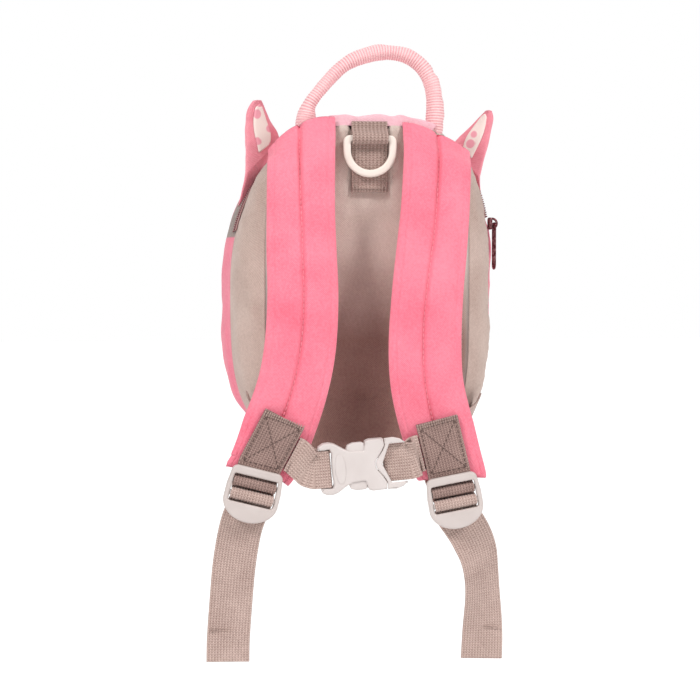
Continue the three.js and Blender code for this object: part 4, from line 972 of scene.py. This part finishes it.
def build_zip_slider():
    """Zip slider: a waisted body of superellipses, and a half ring of wire that carries the pull."""
    low, high = (np.array(corner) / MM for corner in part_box("zip_slider"))
    body_top = low[0] + 3.2
    t = np.sin(np.linspace(-math.pi / 2, math.pi / 2, 33))[:, None]
    closing = (1 - np.abs(t) ** 5) ** 0.3
    waist = 0.82 + 0.18 * t * t
    angle = circle(40)[None, :]
    x = between(low[0], body_top, closing * squared(np.cos(angle), 0.5))
    y = between(low[1], high[1], waist * closing * squared(np.sin(angle), 0.5))
    z = between(low[2], high[2], t) + 0 * x
    body = grid_piece("zip_slider_body", np.stack([x, y, z], -1))
    dress(body, METAL, replaces=["zip_slider"])
    wire, arch_half = 0.85, 3.6
    turn = np.radians(np.linspace(-90, 90, 25))
    reach = high[0] - wire - body_top
    line = np.stack([body_top + reach * np.cos(turn), between(low[1], high[1], 0 * turn),
                     between(low[2], high[2], 0) + arch_half * np.sin(turn)], 1)
    dress(grid_piece("zip_slider_arch", bent_rod(line, Y, wire)), METAL)


def build_zip_pull():
    """Zip pull: a long closed loop of round wire, straight at its top and rounded at its foot."""
    low, high = (np.array(corner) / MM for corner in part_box("zip_pull"))
    wire = (high[0] - low[0]) / 2
    half = (high[1] - low[1]) / 2 - wire
    top, foot = high[2] - wire, low[2] + wire + half
    corners = corner_arcs(half, top, 1.8, 8)
    loop = [*corners, *arc(0, foot, half, 180, 360, 24), corners[0]]
    middle = (low[1] + high[1]) / 2
    line, _ = evenly(np.array([(low[0] + wire, middle + y, z) for y, z in loop]), 0.7)
    pull = grid_piece("zip_pull_loop", bent_rod(line[:-1], X, wire, closed=True), ends="joined")
    dress(pull, METAL, body="zip_pull", replaces=["zip_pull"])


# Harness sides. Pad columns: x, z, standoff, width and fullness as shares. Channel rows: height
# and place across the pad in millimetres. Tail columns: x, z and standoff as shares, turn in degrees.
SIDES = {
    "left": {
        "pad": [
            (-0.472, 0.9975, 0.05, 0.95, 0.5), (-0.474, 0.91, 0.18, 0.95, 0.8),
            (-0.485, 0.75, 0.38, 0.95, 1), (-0.496, 0.45, 0.62, 0.95, 1), (-0.496, 0.2, 0.76, 0.97, 1),
            (-0.492, -0.05, 0.88, 0.98, 1), (-0.512, -0.33, 0.95, 0.985, 1), (-0.568, -0.57, 0.99, 0.98, 1),
            (-0.672, -0.82, 1, 1.0, 1), (-0.76, -0.96, 0.99, 1.03, 0.95), (-0.795, -1.0, 0.985, 1.02, 0.8),
            (-0.803, -1.012, 0.98, 0.98, 0.5),
        ],
        "top_drop": 23,
        "top_bend": 2.2,
        "channel": [(118, -1.5), (100, -1.5), (82, -1.0), (40, 0.5), (-20, 0.5), (-70, 0), (-120, -0.5)],
        "patch": {"x": -0.622, "z": -0.737, "tilt": 22},
        "lock": {"x": -0.8, "z": -1.02, "tilt": 14.5},
        "tail": [
            (-0.89, -1.28, 1.125, 0), (-0.915, -1.345, 1.1, 0), (-0.94, -1.45, 1.03, 0),
            (-0.965, -1.6, 0.98, 4), (-0.985, -1.8, 0.95, 6), (-1.002, -2.0, 0.95, 2),
            (-1.006, -2.135, 0.96, 0),
        ],
        "anchor_angle": 213,
        "plug": -1,
        "chest_front": [(-37, 1.5, 1.2), (-33, 0.1, 2.5)],
        "chest_back": [(-33, 0.1, -2.9), (-37, 2.5, -3.4)],
    },
    "right": {
        "pad": [
            (0.469, 0.965, 0.05, 0.97, 0.5), (0.466, 0.89, 0.18, 0.97, 0.8), (0.456, 0.75, 0.38, 0.96, 1),
            (0.425, 0.45, 0.62, 0.97, 1), (0.39, 0.2, 0.76, 0.99, 1), (0.355, -0.05, 0.88, 1.0, 1),
            (0.335, -0.33, 0.95, 1.02, 1), (0.35, -0.57, 0.99, 1.02, 1), (0.425, -0.83, 1, 1.02, 1),
            (0.5, -1.0, 0.99, 1.03, 0.95), (0.517, -1.045, 0.985, 1.01, 0.8), (0.522, -1.06, 0.98, 0.97, 0.5),
        ],
        "top_drop": 19,
        "top_bend": 1.4,
        "channel": [(118, 1.0), (100, 1.0), (82, 1.0), (40, 0.5), (-20, -1.5), (-70, -1.5), (-120, -2.0)],
        "patch": {"x": 0.402, "z": -0.755, "tilt": -15},
        "lock": {"x": 0.492, "z": -1.07, "tilt": -10.4},
        "tail": [
            (0.575, -1.335, 1.125, 2), (0.64, -1.42, 1.07, 8), (0.7, -1.53, 1.0, 18),
            (0.727, -1.65, 0.96, 26), (0.738, -1.8, 0.95, 24), (0.737, -2.0, 0.95, 8),
            (0.73, -2.155, 0.96, 2),
        ],
        "anchor_angle": -35,
        "plug": 1,
        "chest_front": [(36, 1.2, 1.6), (32, 0.1, 1.3), (24, 0, 0.5)],
        "chest_back": [(25, 0, -4.3), (33, 0.1, -4.1)],
    },
}


def sheared(side, a, half, along):
    """Rise of a pad's points: its top falls by a power of the way outwards, and its outer lower
    corner is drawn down in proportion to that way."""
    outwards = np.clip((1 + side["plug"] * a / half) / 2, 0, 1)
    top = -side["top_drop"] * outwards ** side["top_bend"] * ease(45, 0, along)[:, None]
    heel = -0.45 * np.maximum(side["plug"] * a, 0) * ease(along[-1] - 30, along[-1], along)[:, None]
    return top + heel


def build_pad(name, side):
    """Shoulder pad: a puffed section carried down a curved path; its front dips by a bell at the
    sewn channel near its middle and at the binding along each edge."""
    x, z, out, wide, full = smooth_rows(side["pad"], 220).T
    at = [x * BAG_WIDTH / 2, -out * PAD_STANDOFF, z * BAG_HEIGHT / 2]
    rows, along = evenly(np.column_stack([*at, wide * PAD_WIDTH, full]), 1.3)
    at = rows[:, :3]
    half = rows[:, 3:4] / 2
    thick = rows[:, 4:5] * PAD_THICKNESS / 2
    across = np.sin(np.linspace(-math.pi / 2, math.pi / 2, 140))
    behind = np.sin(np.linspace(math.pi / 2, -math.pi / 2, 50))[1:-1]
    share = np.concatenate([across, behind])[None, :]
    front = np.arange(share.size)[None, :] < len(across)
    a = half * share
    edge = np.abs(share) + 0 * half
    rise = np.maximum(0, 1 - edge ** 3.6) ** 0.55
    channel = np.interp(at[:, 2], *np.array(sorted(side["channel"])).T)[:, None]
    deep = 2.0 + 1.2 * bell(at[:, 2:3], 88, 22)
    binding = 0.7 * bell(np.abs(a), half - 4.6, 0.8)
    groove = deep * bell(a, channel, 1.3) + 1.1 * bell(a, channel, 4.5) + binding
    crown = 0.5 * np.cos(np.clip((a - channel) / half, -1, 1) * math.pi * 0.5)
    place = np.stack([a, 0 * a, along[:, None] + 0 * a], -1)
    sway = ripples(place * [0.7, 1, 1], 60 + side["plug"], 15) * 0.32 + ripples(place, 62, 42) * 0.35
    calm = ease(1.0, 0.8, edge)
    n = np.where(front, thick * rise - groove * rise + (crown + sway) * calm * rise, -thick * rise * 0.92)
    points = carried(at, X, a, n)
    points[..., 2] += sheared(side, a, half, along)
    piece = cloth_piece(f"shoulder_pad_{name}_sewn", points)
    dress(piece, PINK, replaces=[f"shoulder_pad_{name}"])
    line = carried(at, X, channel, thick - deep - 0.35)
    line[..., 2] += sheared(side, channel, half, along)
    line = line[8:-26, 0]
    normals = np.cross(unit(np.gradient(line, axis=0)), X)
    sew(f"pad_channel_stitches_{name}", [(line, normals)], 2.7, 1.0, 0.38, PINK_THREAD)


def spot(shares, out=LOCK_BACK):
    """A place whose x and z are shares of the bag's half width and height, a way out of its panel."""
    return np.array([shares["x"] * BAG_WIDTH / 2, -out, shares["z"] * BAG_HEIGHT / 2])


def tilted(degrees):
    """Directions across and down of a fitting turned clockwise, as seen from the harness side."""
    angle = math.radians(degrees)
    across = np.array([math.cos(angle), 0, -math.sin(angle)])
    down = np.array([-math.sin(angle), 0, -math.cos(angle)])
    return across, down


def lock_frame(side):
    """Origin of a ladder lock and its directions across and down."""
    return spot(side["lock"]), *tilted(side["lock"]["tilt"])


def in_lock(side, points):
    """Points (across, down, out) of a lock in the frame's axes."""
    origin, across, down = lock_frame(side)
    u, v, w = np.split(np.asarray(points, float), 3, axis=-1)
    return origin + u * across + v * down + w * OUT


def turn_round(bar, far, upper, start, end):
    """Middle line of webbing round one edge of a bar."""
    c = BAR_CHAMFER
    centre = (bar["to"] - c if far else bar["from"] + c, bar["front"] - c if upper else bar["back"] + c)
    return arc(*centre, c + 1.2 * CLEARANCE + WEBBING / 2, start, end, 8)


def build_patch(name, side):
    """Patch webbing: down the pad, round the lock's upper bar, and back up under itself."""
    origin, across, _ = lock_frame(side)
    top_across, _ = tilted(side["patch"]["tilt"])
    front = -(CLEARANCE + WEBBING / 2)
    back = front - PLY_STEP
    top = spot(side["patch"])

    def on_pad(share, w):
        end = in_lock(side, [0, 0, w])
        start = np.array([top[0], end[1], top[2]])
        return [*mix(start, end, share), *mix(top_across, across, share)]

    slot = (WINDOW["start"] + BAR_A["from"]) / 2
    low = {**BAR_A, "back": back + WEBBING / 2 + CLEARANCE}
    loop = [(WINDOW["start"], front), (slot - 0.4, front + 0.3), (slot, BAR_A["back"] + 0.3),
            *turn_round(BAR_A, False, True, 170, 90), *turn_round(BAR_A, True, True, 90, 0),
            *turn_round(low, True, False, 0, -90), (WINDOW["start"], back)]
    wrapped = rows_of(in_lock(side, [(0, v, w) for v, w in loop]), across)
    stations = [*(on_pad(share, front) for share in (0, 0.5, 0.95)), *wrapped,
                *(on_pad(share, back) for share in (0.95, 0.5, 0))]
    webbing(f"pad_patch_{name}_woven", stations, STRAP_WIDTH, 14, [f"pad_patch_{name}"],
            material=SHADED_PATCH_WEBBING)

    def on_face(share, aside):
        row = np.array(on_pad(share, front + WEBBING / 2))
        return row[:3] + unit(row[3:]) * aside

    half = STRAP_WIDTH / 2 - 2.4
    corners = [(0.08, -half), (0.08, half), (0.92, half), (0.92, -half)]
    box = crossed_box([on_face(*corner) for corner in corners])
    sew(f"patch_stitches_{name}", box, 2.3, 0.8, 0.3, thread=DARK_THREAD)
    length = np.linalg.norm(origin - top)
    edge = STRAP_WIDTH / 2 - 0.8
    bars = [seam_line([on_face(0.2 / length, aside), on_face(2.6 / length, aside)])
            for aside in np.linspace(-edge, edge, 18)]
    sew(f"patch_edge_stitches_{name}", bars, 2.1, 0.2, 0.36)


def bar_piece(name, bar, power, grid, half_length, placed, material):
    """Rounded bar: a superellipse between its two edges and between its back and front, carried
    straight across; placed turns (across, edge to edge, back to front) into the frame's axes."""
    stations, sides = grid
    turn = circle(sides)
    v = between(bar["from"], bar["to"], squared(np.cos(turn), power))
    w = between(bar["back"], bar["front"], squared(np.sin(turn), power))
    u = np.linspace(-half_length, half_length, stations)[:, None]
    rod = np.stack(np.broadcast_arrays(u, v[None, :], w[None, :]), -1)
    dress(grid_piece(name, placed(rod)), material)


def build_lock(name, side):
    """Ladder lock: a frame with a thumb tab, and two bars whose sections are rounded."""
    half = LOCK_WIDTH / 2
    bow = half * 0.78
    waist = LOCK_LENGTH - bow
    tab = [(half * math.cos(t), waist + bow * math.sin(t)) for t in np.linspace(0, math.pi, 41)]
    outer = [*corner_arcs(half - 1.2, 0, 4, 8, below=True), (half, waist * 0.6), *tab, (-half, waist * 0.6)]
    inner = [*corner_arcs(WINDOW["half"], WINDOW["start"], 1.6, 4, below=True),
             *corner_arcs(WINDOW["half"], WINDOW["end"], 1.6, 4)]
    grid = band(outer, inner, np.array([0, 15.0]), LOCK_THICKNESS, 240)
    dish = 0.7 * bell(grid[..., 0], 0, 9) * bell(grid[..., 1], 30.5, 3.2)
    grid[..., 2] += LOCK_THICKNESS / 2 - dish * (grid[..., 2] > 0)
    piece = grid_piece(f"ladder_lock_{name}_frame", in_lock(side, grid), ends="joined")
    dress(piece, LOCK_PLASTIC, replaces=[f"ladder_lock_{name}"])
    for label, bar in (("upper", BAR_A), ("grip", BAR_B)):
        bar_piece(f"ladder_lock_{name}_{label}_bar", bar, 0.6, (12, 32), WINDOW["half"] + 1,
                  lambda rod: in_lock(side, rod), LOCK_PLASTIC)


def build_adjuster(name, side):
    """Adjuster strap: from the bag's lower side, behind the pad, over the grip bar, and down as a tail."""
    _, across, _ = lock_frame(side)
    angle = math.radians(side["anchor_angle"])
    depth = BAG_DEPTH * 0.15
    anchor = proud_point(depth, angle, 3 * CLEARANCE + WEBBING / 2)
    lie = unit(body_point(depth, angle - 0.05) - body_point(depth, angle + 0.05))
    slot_a = (BAR_A["to"] + 2 * CLEARANCE + WEBBING + BAR_B["from"]) / 2
    slot_b = (BAR_B["to"] + WINDOW["end"]) / 2
    rest = -(CLEARANCE + WEBBING / 2)
    tab = WINDOW["end"]
    local = [(slot_a - 2.2, -7), (slot_a - 0.5, -3.2), (slot_a, -0.5),
             *turn_round(BAR_B, False, True, 180, 90), *turn_round(BAR_B, True, True, 90, 0),
             (slot_b, 1.2), (slot_b, 0.4), (tab - 1, rest), (tab + 0.5, rest - 0.6), (tab + 3, rest - 0.5)]
    wrapped = rows_of(in_lock(side, [(0, v, w) for v, w in local]), across)
    behind = in_lock(side, [0, -8, -20])
    leave = mix(anchor, behind, 0.4)
    leave[1] = -PAD_STANDOFF * 0.2
    strand = smooth_rows([anchor, leave, behind, wrapped[0, :3]], 40)[:-1]
    share = ease(0.1, 0.8, np.linspace(0, 1, len(strand)))[:, None]
    strand = np.column_stack([strand, mix(lie, across, share)])
    x, z, out, turn = smooth_rows(side["tail"], 60).T
    turn = np.radians(turn)
    tail = np.column_stack([x * BAG_WIDTH / 2, -out * PAD_STANDOFF, z * BAG_HEIGHT / 2,
                            np.cos(turn), np.sin(turn) * side["plug"], 0 * turn])
    webbing(f"adjuster_strap_{name}_woven", np.concatenate([strand, wrapped, tail]), STRAP_WIDTH, 14,
            [f"adjuster_strap_{name}"], step=0.9)
    end = tail[-1]
    rise = unit(tail[-12, :3] - end[:3])
    reach = end[3:] * (STRAP_WIDTH / 2 - 1.5)
    rows = [end[:3] + rise * up + OUT * (WEBBING / 2 - 0.1) for up in (HEM_LENGTH, HEM_LENGTH + 1.4)]
    lines = [seam_line([middle - reach, middle + reach]) for middle in rows]
    sew(f"tail_hem_stitches_{name}", lines, 2.3, 0.7, 0.3)


# Chest buckle, in its own plane: along to the right, up, and out
BUCKLE = {"x": -0.105, "z": -1.005, "tilt": -5, "out": 1.24}
BAR_LEFT = {"from": -26.3, "to": -23.1, "back": -1.6, "front": 1.4}
BAR_RIGHT = {"from": 15.6, "to": 18.8, "back": -3.2, "front": -0.8}
BUCKLE_ORIGIN = spot(BUCKLE, BUCKLE["out"] * PAD_STANDOFF)
BUCKLE_ALONG, BUCKLE_DOWN = tilted(BUCKLE["tilt"])
BUCKLE_UP = -BUCKLE_DOWN

# Upper half outlines as shares of the buckle's length and width
SOCKET_EDGE = [
    (-0.5, 0.36), (-0.49, 0.44), (-0.44, 0.49), (-0.37, 0.5), (-0.31, 0.47), (-0.2, 0.35), (-0.13, 0.3),
    (0.0, 0.285), (0.02, 0.3), (0.045, 0.47), (0.09, 0.495), (0.25, 0.49), (0.26, 0.36), (0.225, 0.25),
    (0.15, 0.08), (0.14, 0),
]
SOCKET_NOTCH = [(-0.355, 0), (-0.352, 0.16), (-0.345, 0.3), (-0.365, 0.375)]
PLUG_EDGE = [
    (0.145, 0), (0.157, 0.08), (0.232, 0.25), (0.267, 0.36), (0.257, 0.49), (0.36, 0.5), (0.44, 0.46),
    (0.5, 0.375), (0.315, 0.375), (0.22, 0.01),
]


PRONG_EDGE = [
    (0.225, 0.12), (0.225, 0.375), (0.03, 0.375), (0.03, 0.43), (0.0, 0.455), (-0.1, 0.455), (-0.16, 0.42),
    (-0.18, 0.33), (-0.05, 0.2), (0.1, 0.2), (0.15, 0.12),
]
MOUTH = {"x": -15.4, "z": -0.4, "half_length": 3.6, "half_width": 10.2}


def on_buckle(points):
    """Points (along, up, out) of the buckle in the frame's axes."""
    along, up, out = np.split(np.asarray(points, float), 3, axis=-1)
    return BUCKLE_ORIGIN + along * BUCKLE_ALONG + up * BUCKLE_UP + out * OUT


def moulded_plate(name, outline, low, high, rounding, replaces=()):
    """Flat plate between two heights with rounded edges, from an outline smoothed at its corners."""
    outline = np.asarray(outline, float)
    closed = np.column_stack([np.concatenate([outline, outline[:1]]), np.zeros(len(outline) + 1)])
    fine, _ = evenly(closed, 0.35)
    fine = fine[:-1, :2]
    for _ in range(2):
        fine = (np.roll(fine, 1, 0) + 2 * fine + np.roll(fine, -1, 0)) / 4
    curve = bpy.data.curves.new(name, "CURVE")
    curve.dimensions = "2D"
    curve.fill_mode = "BOTH"
    curve.extrude = (high - low) / 2 - rounding
    curve.bevel_depth = rounding
    curve.bevel_resolution = 3
    curve.offset = -rounding
    spline = curve.splines.new("POLY")
    spline.points.add(len(fine) - 1)
    spline.points.foreach_set("co", np.column_stack([fine, np.zeros(len(fine)), np.ones(len(fine))]).ravel())
    spline.use_cyclic_u = True
    holder = bpy.data.objects.new(name + "_outline", curve)
    bpy.context.scene.collection.objects.link(holder)
    bpy.context.view_layer.update()
    flat = bpy.data.meshes.new_from_object(holder.evaluated_get(bpy.context.evaluated_depsgraph_get()))
    bpy.data.objects.remove(holder)
    points = np.zeros(len(flat.vertices) * 3)
    flat.vertices.foreach_get("co", points)
    points = points.reshape(-1, 3) + [0, 0, (low + high) / 2]
    faces = [list(polygon.vertices) for polygon in flat.polygons]
    bpy.data.meshes.remove(flat)
    piece = mesh_piece(name, on_buckle(points), faces)
    weld = piece.modifiers.new("weld", "WELD")
    weld.merge_threshold = 0.02 * MM
    piece.modifiers.new("shading", "WEIGHTED_NORMAL")
    dress(piece, PLASTIC, replaces=replaces)


def mirrored(rows):
    """An upper half outline in millimetres, and its mirror image on the way back."""
    upper = np.array(rows) * [BUCKLE_LENGTH, BUCKLE_WIDTH]
    return upper, upper[upper[:, 1] > 0][::-1] * [1, -1]


def build_buckle():
    """Chest buckle, fastened: the socket's housing and horns, the plug's plate, and its two prongs."""
    half = BUCKLE_THICKNESS / 2
    notch_upper, notch_lower = mirrored(SOCKET_NOTCH)
    outline = np.concatenate([*mirrored(SOCKET_EDGE), notch_lower, notch_upper])
    moulded_plate("buckle_socket_housing", outline, -half + 0.4, half - 0.7, 1.3, ["buckle_socket"])
    turn = np.linspace(0, 2 * math.pi, 60, False)
    oval = np.column_stack([MOUTH["x"] + MOUTH["half_length"] * np.cos(turn),
                            MOUTH["z"] + MOUTH["half_width"] * np.sin(turn)])
    moulded_plate("buckle_socket_mouth", oval, half - 1.8, half - 0.2, 0.5)
    plate = np.concatenate(mirrored(PLUG_EDGE))
    moulded_plate("buckle_plug_plate", plate, half - 3.2, half - 0.5, 1.0, ["buckle_plug"])
    for label, sense in (("upper", 1), ("lower", -1)):
        prong = np.array(PRONG_EDGE) * [BUCKLE_LENGTH, BUCKLE_WIDTH * sense]
        moulded_plate(f"buckle_plug_prong_{label}", prong, -2.6, 3.0, 0.8)
    for label, bar in (("socket", BAR_LEFT), ("plug", BAR_RIGHT)):
        bar_piece(f"buckle_{label}_bar", bar, 1, (8, 28), 14,
                  lambda rod: on_buckle(rod[..., [1, 0, 2]]), PLASTIC)


def build_chest_loop(name, side):
    """Chest webbing: from the patch's side edge to the buckle's bar in front, and back behind it."""
    origin, _, _ = lock_frame(side)
    top = spot(side["patch"])
    side_up = unit(top - origin)
    side_across = np.array([side_up[2], 0, -side_up[0]])
    start = mix(top, origin, 0.5) - side_across * side["plug"] * (STRAP_WIDTH / 2 + 3 * CLEARANCE)
    front = CLEARANCE + WEBBING / 2
    aside = -side["plug"] * 3 * side_across

    def ply(out, shift):
        return [*(np.array([start[0], -LOCK_BACK + out, start[2]]) + shift), *side_up]

    if side["plug"] < 0:
        wrap = [*turn_round(BAR_LEFT, True, True, 90, 0), *turn_round(BAR_LEFT, True, False, 0, -90)]
    else:
        wrap = [*turn_round(BAR_RIGHT, False, True, 90, 180), *turn_round(BAR_RIGHT, False, False, 180, 270)]
    middle = [*side["chest_front"], *((s, 0, w) for s, w in wrap), *side["chest_back"]]
    stations = [ply(front, 0), ply(front, aside + 0.6 * OUT), *rows_of(on_buckle(middle), BUCKLE_UP),
                ply(front + PLY_STEP, aside), ply(front + PLY_STEP, 0)]
    webbing(f"chest_loop_{name}_woven", stations, CHEST_WIDTH, 12, [f"chest_loop_{name}"], step=0.6)


build_panel()
build_gusset()
build_crown()
build_front()
build_zip()
for ear_name, ear_shape in EARS.items():
    build_ear(ear_name, ear_shape)
    build_ear_patch(ear_name, ear_shape)
build_handle()
build_ring()
build_rein_webbing()
for side_name, side_shape in SIDES.items():
    build_pad(side_name, side_shape)
    build_patch(side_name, side_shape)
    build_lock(side_name, side_shape)
    build_adjuster(side_name, side_shape)
    build_chest_loop(side_name, side_shape)
build_buckle()
build_zip_slider()
build_zip_pull()


# Floor, light and camera

def sun(name, azimuth, elevation, strength, softness):
    """Even light from a direction, as from a large softbox far off."""
    light = bpy.data.lights.new(name, "SUN")
    light.energy = strength
    light.angle = math.radians(softness)
    holder = bpy.data.objects.new(name, light)
    holder.rotation_euler = (math.radians(90 - elevation), 0, math.radians(azimuth))
    bpy.context.scene.collection.objects.link(holder)


def studio():
    """White surroundings that light the object evenly and look white from the camera."""
    world = bpy.data.worlds.new("studio")
    world.use_nodes = True
    background = world.node_tree.nodes["Background"]
    background.inputs["Color"].default_value = (1, 1, 1, 1)
    seen = world.node_tree.nodes.new("ShaderNodeLightPath")
    strength = world.node_tree.nodes.new("ShaderNodeMath")
    strength.operation = "MULTIPLY_ADD"
    strength.inputs[1].default_value = 1 - AMBIENT
    strength.inputs[2].default_value = AMBIENT
    world.node_tree.links.new(seen.outputs["Is Camera Ray"], strength.inputs[0])
    world.node_tree.links.new(strength.outputs[0], background.inputs["Strength"])
    bpy.context.scene.world = world


AMBIENT = 0.24
FLOOR_HALF = 9000
FLOOR_HEIGHT = -460
floor_material = Finish("floor_pale", Roughness=0.9)
floor_material.feed(floor_material.shader, {
    "Base Color": (0.93, 0.93, 0.93, 1),
    "Emission Color": (1, 1, 1, 1),
    "Emission Strength": 0.14,
})
floor_corners = [(-1, -1), (1, -1), (1, 1), (-1, 1)]
floor = mesh_piece("floor", [(x * FLOOR_HALF, y * FLOOR_HALF, FLOOR_HEIGHT) for x, y in floor_corners],
                   [(0, 1, 2, 3)])
floor.data.materials.append(floor_material.material)
studio()
sun("left_softbox", -50, 42, 1.9, 14)
sun("right_softbox", 50, 38, 1.75, 14)
sun("back_softbox", 180, 50, 0.8, 30)
bpy.context.scene.view_settings.view_transform = "Standard"

camera = bpy.data.cameras.new("camera")
camera.lens = CAMERA["lens"]
camera.sensor_width = 36
eye = bpy.data.objects.new("camera", camera)
turn = math.radians(CAMERA["azimuth"])
rise = math.radians(CAMERA["elevation"])
away = np.array([math.sin(turn) * math.cos(rise), -math.cos(turn) * math.cos(rise), math.sin(rise)])
eye.location = np.array(CAMERA["target"]) + away * CAMERA["distance"]
eye.rotation_euler = (math.pi / 2 - rise, 0, turn)
bpy.context.scene.collection.objects.link(eye)
bpy.context.scene.camera = eye
